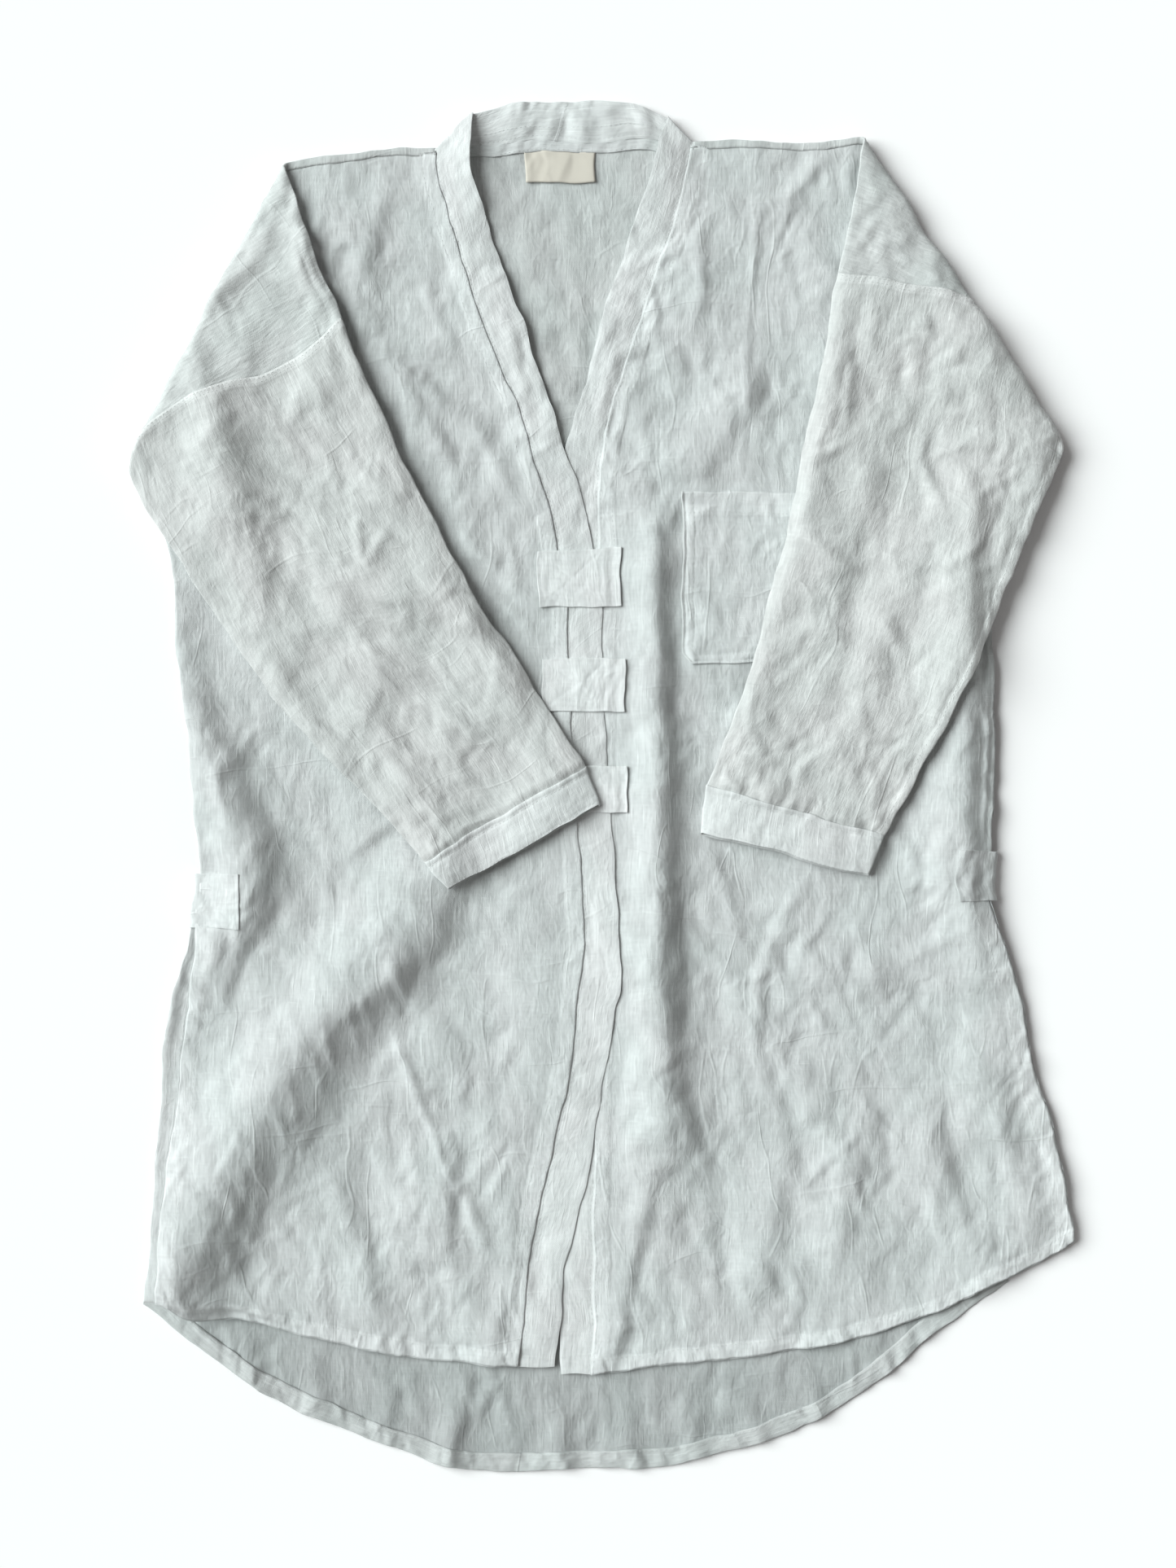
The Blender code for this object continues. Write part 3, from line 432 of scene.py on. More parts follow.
def filled_patch(low, high, first, last, u, v):
    """Coons patch between four edges: low and high run along u, first and last along v.

    It is the straight blend of the two edges along u, plus that of the two along v, less the
    straight blend of the four corners.
    """
    u = u[None, :, None]
    v = v[:, None, None]
    between_rows = (1 - v) * low[None] + v * high[None]
    between_columns = (1 - u) * first[:, None] + u * last[:, None]
    of_corners = (1 - v) * ((1 - u) * low[0] + u * low[-1]) + v * ((1 - u) * high[0] + u * high[-1])
    return between_rows + between_columns - of_corners


def graded(*zones):
    """Fractions of a length: each zone runs on to its end at about its own step."""
    marks = [np.zeros(1)]
    start = 0.0
    for end, step in zones:
        count = max(1, round((end - start) / step))
        marks.append(np.linspace(start, end, count + 1)[1:])
        start = end
    return np.concatenate(marks) / start


def run_along(grid, axis):
    """Length run along a grid's lines, from their start."""
    steps = np.linalg.norm(np.diff(grid, axis=axis), axis=-1)
    zero = np.zeros_like(np.take(steps, [0], axis=axis))
    return np.concatenate((zero, np.cumsum(steps, axis=axis)), axis=axis)


SIDES = {
    "right": {
        "side": SIDE_RIGHT, "armhole": ARMHOLE_RIGHT, "shoulder": SHOULDER_RIGHT, "band": BAND_RIGHT,
        "back_slit": BACK_SLIT_RIGHT, "front_slit": FRONT_SLIT_RIGHT, "front_hem": FRONT_HEM_RIGHT,
        "top": SLEEVE_TOP_RIGHT, "under": SLEEVE_UNDER_RIGHT, "cuff": CUFF_END_RIGHT,
        "columns": graded((16, 1.6), (276, 2.9), (290, 1.2))},
    "left": {
        "side": SIDE_LEFT, "armhole": ARMHOLE_LEFT, "shoulder": SHOULDER_LEFT, "band": BAND_LEFT,
        "back_slit": BACK_SLIT_LEFT, "front_slit": FRONT_SLIT_LEFT, "front_hem": FRONT_HEM_LEFT,
        "top": SLEEVE_TOP_LEFT, "under": SLEEVE_UNDER_LEFT, "cuff": CUFF_END_LEFT,
        "columns": graded((14, 1.2), (274, 2.9), (290, 1.6))},
}
FRONT_ROWS = graded((14, 1.4), (650, 2.9), (870, 2.7))
BACK_ROWS = graded((16, 2.2), (150, 2.9), (520, 12.0), (946, 3.1))
BACK_COLUMNS = {"right": graded((105, 2.4), (230, 4.2)), "left": graded((80, 4.2), (224, 2.4))}
NECK_COLUMNS = graded((180, 3.6))
SLEEVE_ROWS = graded((10, 1.4), (352, 2.3), (366, 1.4))
SLEEVE_COLUMNS = graded((10, 1.6), (150, 2.3), (160, 1.6))
UNDER_COLUMNS = graded((160, 6.0))
CUFF_ROWS = graded((31, 1.3))
BAND_FRONT_ROWS = graded((870, 2.4))[::-1]
BAND_BACK_ROWS = np.concatenate(([-0.008], graded((90, 1.8))[1:]))
BAND_COLUMNS = graded((6, 1.0), (26, 2.2))
POCKET_COLUMNS = graded((9, 1.0), (114, 2.2), (123, 1.0))
POCKET_ROWS = graded((9, 1.0), (105, 2.2), (123, 1.2))


def side_edge(side, slit, v):
    """One side of a panel from hem to shoulder point, its armpit at a fixed fraction."""
    pattern = SIDES[side]
    lower = np.vstack((corners_of(pattern[slit])[:-1], corners_of(pattern["side"])))
    is_lower = v <= ARMPIT_FRACTION
    below = soft_curve(lower, v[is_lower] / ARMPIT_FRACTION)
    above = soft_curve(corners_of(pattern["armhole"]), (v[~is_lower] - ARMPIT_FRACTION) / (1 - ARMPIT_FRACTION))
    return np.vstack((below, above))


def neck_point(side):
    """Where shoulder, back neck and band meet."""
    shoulder = corners_of(SIDES[side]["shoulder"])
    return shoulder[-1] if side == "right" else shoulder[0]


def sewn_edge(side, fractions):
    """The seam between a front and its band, hem to neck point."""
    band = SIDES[side]["band"]
    places = np.column_stack((band["sewn_x"], band["y"]))
    return soft_curve(np.vstack((places, neck_point(side))), fractions)


def front_places(side, u, v):
    """Flat places of a front up to the shoulder edge, columns from the wearer's right to left."""
    pattern = SIDES[side]
    outer = side_edge(side, "front_slit", v)
    inner = sewn_edge(side, v)
    hem = soft_curve(corners_of(pattern["front_hem"]), u)
    shoulder = soft_curve(corners_of(pattern["shoulder"]), u)
    first, last = (outer, inner) if side == "right" else (inner, outer)
    return filled_patch(hem, shoulder, first, last, u, v)


LATTICE = 256


def noise(x, y, seed):
    """Gradient noise, about -1 to 1: each corner of a unit lattice has a random slope, and the
    heights that the four slopes give are blended by smooth steps of fifth degree."""
    angles = np.random.default_rng(seed).uniform(0, 2 * math.pi, (LATTICE, LATTICE))
    column, row = np.floor(x).astype(int), np.floor(y).astype(int)
    across, up = x - column, y - row
    blend_x = across**3 * (across * (6 * across - 15) + 10)
    blend_y = up**3 * (up * (6 * up - 15) + 10)

    def corner(i, j):
        angle = angles[(column + i) % LATTICE, (row + j) % LATTICE]
        return np.cos(angle) * (across - i) + np.sin(angle) * (up - j)

    low = corner(0, 0) * (1 - blend_x) + corner(1, 0) * blend_x
    high = corner(0, 1) * (1 - blend_x) + corner(1, 1) * blend_x
    return (low * (1 - blend_y) + high * blend_y) * 1.5


def crumple(x, y, seed, lean=0.0):
    """Crushed linen, about -1 to 1: sharp crests and sharp valleys of folded noise at three sizes.

    The cloth's coordinates are turned by an angle, then bent by broad noise, and the creases are
    half as long again along the cloth as across it. Folded noise is 1 - 2 |noise|.
    """
    along = x * math.sin(lean) + y * math.cos(lean)
    across = x * math.cos(lean) - y * math.sin(lean)
    across = across + 9.0 * noise(along / 47, across / 39, seed + 1)
    along = along + 12.0 * noise(along / 53, across / 41, seed + 2)
    crests = 1 - 2 * np.abs(noise(across / 22, along / 34, seed + 3))
    valleys = 1 - 2 * np.abs(noise((across + 0.5 * along) / 25, (along - 0.4 * across) / 38, seed + 4))
    small = 1 - 2 * np.abs(noise((across - 0.35 * along) / 12, along / 18, seed + 5))
    least = 1 - 2 * np.abs(noise((across + 0.25 * along) / 7.5, along / 12, seed + 6))
    patches = smooth_step(0.5 + 0.9 * noise(across / 44, along / 58, seed + 7))
    calm = 0.55 + 0.75 * smooth_step(0.5 + 0.8 * noise(across / 75, along / 90, seed + 8))
    fine = (0.10 + 0.26 * patches) * small + (0.02 + 0.09 * patches) * least
    return calm * (0.45 * crests - 0.45 * valleys + fine)


def relief(folds, x, y):
    """Height of the folds of a table: a ridge (1 - (distance / half width) squared) squared about
    each crest line, and where two of them meet the higher one counts."""
    height = np.zeros_like(x)
    for row in range(len(folds["x0"])):
        fold = {name: values[row] for name, values in folds.items()}
        run_x = fold["x1"] - fold["x0"]
        run_y = fold["y1"] - fold["y0"]
        along = ((x - fold["x0"]) * run_x + (y - fold["y0"]) * run_y) / (run_x**2 + run_y**2)
        along = np.clip(along, 0.0, 1.0)
        distance = np.hypot(x - fold["x0"] - along * run_x, y - fold["y0"] - along * run_y)
        width = fold["width0"] + along * (fold["width1"] - fold["width0"])
        crest = fold["height0"] + along * (fold["height1"] - fold["height0"])
        ridge = np.clip(1.0 - (distance / width)**2, 0.0, None)**2
        height = np.maximum(height, crest * ridge)
    return height


def creased(creases, x, y):
    """Height of the creases of a table, added up: each fades in and out along its run by smooth
    steps, and falls off across it by a bell curve, which is wider on one side than the other."""
    height = np.zeros_like(x)
    for row in range(len(creases["x0"])):
        crease = {name: values[row] for name, values in creases.items()}
        run_x = crease["x1"] - crease["x0"]
        run_y = crease["y1"] - crease["y0"]
        length = math.hypot(run_x, run_y)
        along = ((x - crease["x0"]) * run_x + (y - crease["y0"]) * run_y) / length**2
        along = np.clip(along, 0.0, 1.0)
        across = ((x - crease["x0"]) * run_y - (y - crease["y0"]) * run_x) / length
        across = across - crease["bow"] * 4 * along * (1 - along)
        width = np.where(across > 0, crease["right"], crease["left"])
        fade = smooth_step(along / 0.2) * smooth_step((1 - along) / 0.3)
        height += crease["height"] * fade * np.exp(-(across / width)**2)
    return height


def swept(folds, x, y):
    """Height of long folds, added up. Each crest is a soft curve through its places. A place is
    measured square to the curve's nearest stretch, and the height falls off on either side by a
    bell curve of that side's width."""
    height = np.zeros_like(x)
    for fold in folds:
        corners = corners_of(fold)
        reach = 2.6 * max(fold["right"].max(), fold["left"].max())
        low, high = corners.min(axis=0) - reach, corners.max(axis=0) + reach
        near = (x > low[0]) & (x < high[0]) & (y > low[1]) & (y < high[1])
        if not near.any():
            continue
        places = np.column_stack((x[near], y[near]))
        marks = np.linspace(0.0, 1.0, 48)
        path = soft_curve(corners, marks)
        ahead = unit(np.gradient(path, axis=0))
        run = np.concatenate(([0.0], np.cumsum(np.linalg.norm(np.diff(path, axis=0), axis=1))))
        nearest = np.argmin(((places[:, None] - path)**2).sum(axis=2), axis=1)
        offset = places - path[nearest]
        forward = ahead[nearest]
        share = (run[nearest] + (offset * forward).sum(axis=1)) / run[-1]
        across = offset[:, 0] * forward[:, 1] - offset[:, 1] * forward[:, 0]
        steps = np.linalg.norm(np.diff(corners, axis=0), axis=1)
        knots = np.concatenate(([0.0], np.cumsum(steps))) / steps.sum()
        crest, right, left = (np.interp(share, knots, fold[name]) for name in ("height", "right", "left"))
        beyond = np.maximum(np.maximum(-share, share - 1.0), 0.0) * run[-1]
        width = np.where(across > 0, right, left)
        height[near] += crest * np.exp(-(across / width)**2 - (beyond / 12.0)**2)
    return height


def front_rise(x, y):
    """Folds of the fronts, as in the solids, and broad swells between them, never below 0."""
    swell = noise(x / 62.0, y / 88.0, 200) + 0.5 * noise((x + 0.6 * y) / 41.0, (y - 0.5 * x) / 57.0, 201)
    return relief(FRONT_FOLDS, x, y) + swept(FRONT_SWEEPS, x, y) + at_least(SWELL * (0.35 + swell), 0.0, 0.6)


def sleeve_rise(x, y):
    """Folds of the sleeves and their own broad swells."""
    swell = noise((x - 0.5 * y) / 52.0, (y + 0.5 * x) / 90.0, 210)
    swell = np.where(x < 0, swell, noise((x + 0.35 * y) / 48.0, (y - 0.35 * x) / 90.0, 212))
    return swept(SLEEVE_SWEEPS, x, y) + at_least(0.7 * SWELL * (0.3 + swell), 0.0, 0.6)


def over_rise(x, y):
    """Folds of what is turned over on to the fronts."""
    return front_rise(x, y) + sleeve_rise(x, y)


def climb(x):
    """How far the wearer's right front has climbed on to the left one, in mm."""
    return PITCH * smooth_step((x - CLIMB_START) / (CLIMB_END - CLIMB_START))


def at_least(height, floor, softness=0.3):
    """A height kept above a floor by a soft maximum, softness times log(e^a + e^b)."""
    return softness * np.logaddexp(height / softness, floor / softness)


def front_detail(x, y):
    """Creases and crumple that all layers of the front share, so that none cuts another. They are
    pressed flatter where the bands and tabs are sewn together."""
    pressed = smooth_step((x + 66) / 12) * smooth_step((18 - x) / 12) * smooth_step((205 - y) / 30)
    crushed = (1 - 0.6 * pressed) * FRONT_CRUMPLE * crumple(x, y, 10)
    return at_least(FRONT_LOFT + creased(FRONT_CREASES, x, y) + crushed, 0.1)


def top_detail(x, y):
    """Creases and crumple of what is turned over on to the fronts: shoulders and sleeves."""
    leaned = np.where(x < 0, crumple(x, y, 30, -0.55), crumple(x, y, 50, 0.35))
    height = TOP_LOFT + creased(TOP_CREASES, x, y) + TOP_CRUMPLE * leaned
    return at_least(height, 0.0) + PRINT_THROUGH * front_detail(x, y)


def turn_plane(side):
    """A point on the turning line, and the direction across it, away from the garment."""
    start, end = (np.array(place, float) for place in TURN_LINES[side])
    run = unit(end - start)
    normal = np.array([run[1], -run[0]])
    normal *= math.copysign(1.0, normal[0]) * OUTWARD[side]
    return start - OUTER_TURN * normal, normal


def fold_over(places, side, under_rise, over_rise):
    """Bend flat places over a turning line, then raise them, and say how far each has turned.

    A place at distance d beyond the line turns by d over the mean radius, up to half a turn, about
    the turning height, so its own radius is what it lies below that height. What is left of d runs
    back over the garment. The rises are functions of x and y, blended by how far a place turned.
    """
    point, normal = turn_plane(side)
    across = (places[..., :2] - point) @ normal
    angle = np.clip(across / TURN_RADIUS, 0.0, math.pi)
    beyond = np.clip(across - math.pi * TURN_RADIUS, 0.0, None)
    radius = TURN_LEVEL - places[..., 2]
    moved = np.minimum(across, 0.0) + radius * np.sin(angle) - beyond
    bent = places.copy()
    bent[..., :2] += (moved - across)[..., None] * normal
    bent[..., 2] = TURN_LEVEL - radius * np.cos(angle)
    turned = (1.0 - np.cos(angle)) / 2.0
    x, y = bent[..., 0], bent[..., 1]
    bent[..., 2] += (1.0 - turned) * under_rise(x, y) + turned * over_rise(x, y)
    return bent, turned


def raised(places, height):
    """Flat places given a height each, or one height."""
    height = np.broadcast_to(np.asarray(height, float)[..., None], places.shape[:-1] + (1,))
    return np.concatenate((places, height), axis=-1)


def strip_share(distance, width):
    """1 on a stitched-down strip along an edge, falling to 0 over a millimetre at its inner side."""
    return smooth_step((width - distance) + 0.5)


def puckers(along, away, seed):
    """Little folds across a hem, 0 to 1: each rises slowly along the hem and drops by a smooth
    step, about every 17 mm, slanting a little, and some are fuller than others."""
    phase = along / 17.0 + 0.9 * noise(along / 43.0, 0 * along, seed) + 0.03 * away
    tooth = phase - np.floor(phase)
    fullness = 0.25 + 0.75 * smooth_step(0.5 + 0.9 * noise(along / 31.0, away / 60.0, seed + 1))
    return fullness * tooth * smooth_step((1 - tooth) / 0.2)


def sewn_strip(distance, along, width, seed, pucker=0.4):
    """Relief of a stitched-down strip: a step of one ply, a groove under its stitches, and the
    puckers that the stitches pull across it, which fade beyond the strip by a bell curve."""
    step = PLY_STEP * strip_share(distance, width)
    groove = -0.28 * np.exp(-((distance - width + STITCH_INSET) / 0.9)**2)
    pull = puckers(along, distance, seed)
    pull += 0.5 * np.abs(noise((along - 0.3 * distance) / 6.0, distance / 18.0, seed + 1))
    return step + groove + pucker * np.exp(-(distance / (1.4 * width))**2) * pull


def line_at(places, distance, wanted):
    """The line on a grid where the distance from its first column reaches a value, row by row."""
    columns = np.clip((distance < wanted).sum(axis=1), 1, places.shape[1] - 1)
    rows = np.arange(len(places))
    before, after = distance[rows, columns - 1], distance[rows, columns]
    share = np.clip((wanted - before) / (after - before), 0, 1)[:, None]
    return places[rows, columns - 1] * (1 - share) + places[rows, columns] * share


# Materials

def add_node(tree, kind, inputs=(), **settings):
    """Add a shader node, its settings and its inputs, which are values or other nodes' outputs."""
    made = tree.nodes.new(kind)
    for name, value in settings.items():
        setattr(made, name, value)
    for socket, value in dict(inputs).items():
        if isinstance(value, bpy.types.NodeSocket):
            tree.links.new(value, made.inputs[socket])
        else:
            made.inputs[socket].default_value = value
    return made


def new_group(name, inputs, outputs):
    """A shader node group with named sockets, and its tree, input node and output node."""
    tree = bpy.data.node_groups.new(name, "ShaderNodeTree")
    for socket, kind, value in inputs:
        made = tree.interface.new_socket(name=socket, in_out="INPUT", socket_type=kind)
        if value is not None:
            made.default_value = value
    for socket, kind in outputs:
        tree.interface.new_socket(name=socket, in_out="OUTPUT", socket_type=kind)
    return tree, tree.nodes.new("NodeGroupInput"), tree.nodes.new("NodeGroupOutput")


def maths(tree, operation, first, second=0.0):
    """A Math node's output."""
    return add_node(tree, "ShaderNodeMath", {0: first, 1: second}, operation=operation).outputs[0]


def stretched(tree, place, x, y):
    """A place divided by a size across and a size along the cloth."""
    return add_node(
        tree, "ShaderNodeVectorMath", {0: place, 1: (1 / x, 1 / y, 1.0)}, operation="MULTIPLY").outputs[0]


def noise_value(tree, place, detail=2.0, roughness=0.5):
    """A Noise Texture's value at a place."""
    return add_node(
        tree, "ShaderNodeTexNoise",
        {"Vector": place, "Scale": 1.0, "Detail": detail, "Roughness": roughness}).outputs["Fac"]


def remapped(tree, value, low, high):
    """A value brought from low and high to 0 and 1, and held there."""
    return add_node(
        tree, "ShaderNodeMapRange", {"Value": value, "From Min": low, "From Max": high},
        interpolation_type="SMOOTHSTEP").outputs["Result"]


def weave_group():
    """Plain weave: the product of two sines, over-and-under bumps a thread apart, wandering a
    little. Thread is the size of one thread in mm."""
    tree, given, out = new_group(
        "plain weave", [("Place", "NodeSocketVector", None), ("Thread", "NodeSocketFloat", 0.6)],
        [("Height", "NodeSocketFloat")])
    wander = noise_value(tree, stretched(tree, given.outputs["Place"], 3.0, 9.0))
    parts = add_node(tree, "ShaderNodeSeparateXYZ", {0: given.outputs["Place"]})
    waves = []
    for axis, drift in (("X", 1.1), ("Y", 0.7)):
        moved = maths(tree, "ADD", parts.outputs[axis], maths(tree, "MULTIPLY", wander, drift))
        turns = maths(tree, "DIVIDE", moved, given.outputs["Thread"])
        waves.append(maths(tree, "SINE", maths(tree, "MULTIPLY", turns, math.pi)))
    product = maths(tree, "MULTIPLY", waves[0], waves[1])
    height = maths(tree, "ADD", maths(tree, "MULTIPLY", product, 0.5), 0.5)
    tree.links.new(height, out.inputs["Height"])
    return tree


def slub_group():
    """Slubs: thick stretches of single threads, long along the warp and shorter along the weft."""
    tree, given, out = new_group(
        "slubs", [("Place", "NodeSocketVector", None)],
        [("Warp", "NodeSocketFloat"), ("Weft", "NodeSocketFloat"), ("Both", "NodeSocketFloat")])
    warp = noise_value(tree, stretched(tree, given.outputs["Place"], 0.9, 34.0), 1.0)
    weft = noise_value(tree, stretched(tree, given.outputs["Place"], 15.0, 0.85), 1.0)
    warp = remapped(tree, warp, 0.58, 0.74)
    weft = remapped(tree, weft, 0.63, 0.78)
    tree.links.new(warp, out.inputs["Warp"])
    tree.links.new(weft, out.inputs["Weft"])
    tree.links.new(maths(tree, "MAXIMUM", warp, weft), out.inputs["Both"])
    return tree


def crinkle_group():
    """Fine crinkles that the mesh is too coarse for: folded noise, 1 - 2 |noise - 1/2|, at 9 mm and
    at 4 mm, and here and there long thin creases, where a broader noise passes its middle."""
    tree, given, out = new_group(
        "fine crinkle", [("Place", "NodeSocketVector", None)], [("Height", "NodeSocketFloat")])
    total = 0.0
    for across, along, share in ((9.0, 17.0, 0.7), (3.6, 8.0, 0.42)):
        value = noise_value(tree, stretched(tree, given.outputs["Place"], across, along), 2.0)
        folded = maths(tree, "ABSOLUTE", maths(tree, "SUBTRACT", value, 0.5))
        folded = maths(tree, "SUBTRACT", 1.0, maths(tree, "MULTIPLY", folded, 4.0))
        total = maths(tree, "ADD", maths(tree, "MULTIPLY", folded, share), total)
    for across, along, low in ((24.0, 95.0, 0.50), (88.0, 27.0, 0.53)):
        place = stretched(tree, given.outputs["Place"], across, along)
        off = maths(tree, "ABSOLUTE", maths(tree, "SUBTRACT", noise_value(tree, place, 1.2), 0.5))
        line = maths(tree, "SUBTRACT", 1.0, remapped(tree, off, 0.0, 0.026))
        mask = remapped(tree, noise_value(tree, stretched(tree, place, 1.4, 0.9), 1.0), low, low + 0.1)
        total = maths(tree, "ADD", maths(tree, "MULTIPLY", maths(tree, "MULTIPLY", line, mask), 0.55), total)
    tree.links.new(total, out.inputs["Height"])
    return tree


WEAVE = weave_group()
SLUBS = slub_group()
CRINKLE = crinkle_group()


def placed_group(tree, group, inputs):
    """A node group put into a tree."""
    made = tree.nodes.new("ShaderNodeGroup")
    made.node_tree = group
    for socket, value in inputs.items():
        if isinstance(value, bpy.types.NodeSocket):
            tree.links.new(value, made.inputs[socket])
        else:
            made.inputs[socket].default_value = value
    return made


def new_material(name, roughness, sheen=0.0, specular=0.25):
    """A material with its Principled BSDF's constants set on the shader's own sockets."""
    material = bpy.data.materials.new(name)
    material.use_nodes = True
    shader = material.node_tree.nodes["Principled BSDF"]
    shader.inputs["Roughness"].default_value = roughness
    shader.inputs["Sheen Weight"].default_value = sheen
    shader.inputs["Specular IOR Level"].default_value = specular
    return material, material.node_tree, shader


def linen(name, thin, thick, thread=0.62, slubs=1.0, crinkle=0.5):
    """Linen: thin where it is one ply and paler where plies lie together, mottled partly by uneven
    thickness and partly by painted shade of crumple, with slubs that catch the light, darker gaps
    between the threads, the fine crinkles painted into the colour as light and shade, and bumps of
    crinkles, slubs and weave. The share of plies also carries painted shade on one side tab, and
    a gradient on the back that is paler upward."""
    material, tree, shader = new_material(name, 0.88, sheen=0.08)
    place = add_node(tree, "ShaderNodeUVMap", uv_map="pattern").outputs["UV"]
    plies = add_node(tree, "ShaderNodeAttribute", attribute_name="plies").outputs["Fac"]
    weave = placed_group(tree, WEAVE, {"Place": place, "Thread": thread}).outputs["Height"]
    slub = placed_group(tree, SLUBS, {"Place": place})
    fine = placed_group(tree, CRINKLE, {"Place": place}).outputs["Height"]
    # Mottle: partly uneven thickness of the linen, and partly painted shade of the crumple's light and dark
    mottle = noise_value(tree, stretched(tree, place, 13.0, 22.0), 4.0, 0.6)
    colour = add_node(
        tree, "ShaderNodeMix", {"Factor": plies, 6: (*thin, 1.0), 7: (*thick, 1.0)}, data_type="RGBA")
    streaks = noise_value(tree, stretched(tree, place, 0.9, 30.0), 3.0, 0.6)
    shade = maths(tree, "MULTIPLY", maths(tree, "SUBTRACT", mottle, 0.5), 0.42)
    shade = maths(tree, "ADD", shade, maths(tree, "MULTIPLY", maths(tree, "SUBTRACT", streaks, 0.5), 0.26))
    for across, along, share in ((1.9, 15.0, 0.34), (13.0, 1.9, 0.20)):
        uneven = noise_value(tree, stretched(tree, place, across, along), 2.0, 0.6)
        uneven = maths(tree, "MULTIPLY", maths(tree, "SUBTRACT", uneven, 0.5), share)
        shade = maths(tree, "ADD", shade, uneven)
    shade = maths(tree, "ADD", shade, maths(tree, "MULTIPLY", slub.outputs["Both"], 0.14 * slubs))
    shade = maths(tree, "ADD", shade, maths(tree, "MULTIPLY", maths(tree, "SUBTRACT", weave, 0.5), 0.10))
    # The fine crinkles' height is painted into the colour: painted light on their crests and thin creases, painted
    # shade in their hollows
    shade = maths(tree, "ADD", shade, maths(tree, "MULTIPLY", maths(tree, "SUBTRACT", fine, 0.5), 0.06))
    hue = remapped(tree, noise_value(tree, stretched(tree, place, 58.0, 74.0), 2.0), 0.38, 0.62)
    tint = add_node(
        tree, "ShaderNodeMix", {"Factor": hue, 6: (0.985, 1.0, 0.998, 1.0), 7: (1.0, 0.995, 0.999, 1.0)},
        data_type="RGBA")
    tinted = add_node(
        tree, "ShaderNodeVectorMath", {0: colour.outputs[2], 1: tint.outputs[2]}, operation="MULTIPLY")
    bright = add_node(
        tree, "ShaderNodeVectorMath",
        {0: tinted.outputs[0], "Scale": maths(tree, "ADD", shade, 1.0)}, operation="SCALE")
    tree.links.new(bright.outputs[0], shader.inputs["Base Color"])
    folds = add_node(
        tree, "ShaderNodeBump", {"Strength": crinkle, "Distance": 0.0008, "Height": fine})
    threads = maths(
        tree, "ADD", weave, maths(tree, "MULTIPLY", slub.outputs["Both"], 1.3 * slubs))
    bump = add_node(
        tree, "ShaderNodeBump",
        {"Strength": 0.6, "Distance": 0.00012, "Height": threads, "Normal": folds.outputs[0]})
    tree.links.new(bump.outputs[0], shader.inputs["Normal"])
    rough = maths(tree, "SUBTRACT", 0.92, maths(tree, "MULTIPLY", slub.outputs["Both"], 0.12))
    tree.links.new(rough, shader.inputs["Roughness"])
    return material


def tape():
    """The label's woven cream tape: fine ribs across it, and a faint mottle."""
    material, tree, shader = new_material("cream woven tape", 0.75, sheen=0.05)
    place = add_node(tree, "ShaderNodeUVMap", uv_map="pattern").outputs["UV"]
    weave = placed_group(tree, WEAVE, {"Place": place, "Thread": 0.32}).outputs["Height"]
    mottle = noise_value(tree, stretched(tree, place, 6.0, 4.0), 3.0)
    shade = maths(tree, "ADD", maths(tree, "MULTIPLY", maths(tree, "SUBTRACT", mottle, 0.5), 0.08), 0.96)
    shade = maths(tree, "ADD", shade, maths(tree, "MULTIPLY", weave, 0.06))
    bright = add_node(
        tree, "ShaderNodeVectorMath", {0: (0.655, 0.615, 0.54), "Scale": shade}, operation="SCALE")
    tree.links.new(bright.outputs[0], shader.inputs["Base Color"])
    bump = add_node(tree, "ShaderNodeBump", {"Strength": 0.5, "Distance": 0.00008, "Height": weave})
    tree.links.new(bump.outputs[0], shader.inputs["Normal"])
    return material


def sewing_thread():
    """White sewing thread: a twist of fine diagonal lines on a matt white."""
    material, tree, shader = new_material("white sewing thread", 0.7, sheen=0.1)
    place = add_node(tree, "ShaderNodeTexCoord").outputs["Object"]
    twist = add_node(
        tree, "ShaderNodeTexWave", {"Vector": place, "Scale": 900.0, "Distortion": 2.0},
        bands_direction="DIAGONAL").outputs["Fac"]
    shade = maths(tree, "ADD", maths(tree, "MULTIPLY", twist, 0.12), 0.9)
    bright = add_node(
        tree, "ShaderNodeVectorMath", {0: (0.68, 0.70, 0.69), "Scale": shade}, operation="SCALE")
    tree.links.new(bright.outputs[0], shader.inputs["Base Color"])
    bump = add_node(tree, "ShaderNodeBump", {"Strength": 0.4, "Distance": 0.00005, "Height": twist})
    tree.links.new(bump.outputs[0], shader.inputs["Normal"])
    return material


BODY_LINEN = linen("body linen", (0.56, 0.575, 0.57), (0.64, 0.655, 0.65))
# The back's thin colour is darker than the body linen's, so that the back shows darker towards the hem
BACK_LINEN = linen("back linen", (0.42, 0.435, 0.43), (0.58, 0.595, 0.585))
SLEEVE_LINEN = linen("sleeve linen", (0.582, 0.587, 0.577), (0.665, 0.67, 0.66))
BAND_LINEN = linen("doubled band linen", (0.64, 0.651, 0.645), (0.727, 0.736, 0.731), crinkle=0.4)
TAPE = tape()
SEWING = sewing_thread()


# Meshes

def wandered(points):
    """Points moved sideways by a millimetre or two of noise that all pieces share, so that edges
    and seams run as unevenly as those of washed linen and still meet."""
    x, y = points[:, 0], points[:, 1]
    moved = points.copy()
    for axis, seed in ((0, 300), (1, 302)):
        moved[:, axis] += 2.0 * noise(x / 36.0, y / 36.0, seed) + 0.7 * noise(x / 14.0, y / 14.0, seed + 1)
    return moved


def blunted(points):
    """Points drawn in at both armpit corners, which are round: what lies beyond a line there is
    eased by a hyperbolic tangent of its distance."""
    moved = points.copy()
    above = smooth_step((points[:, 1] - 160.0) / 50.0)
    for outward, line, room in ARMPIT_CORNERS:
        beyond = np.maximum(outward * points[:, 0] - line, 0.0)
        moved[:, 0] -= outward * above * (beyond - room * np.tanh(beyond / room))
    return moved


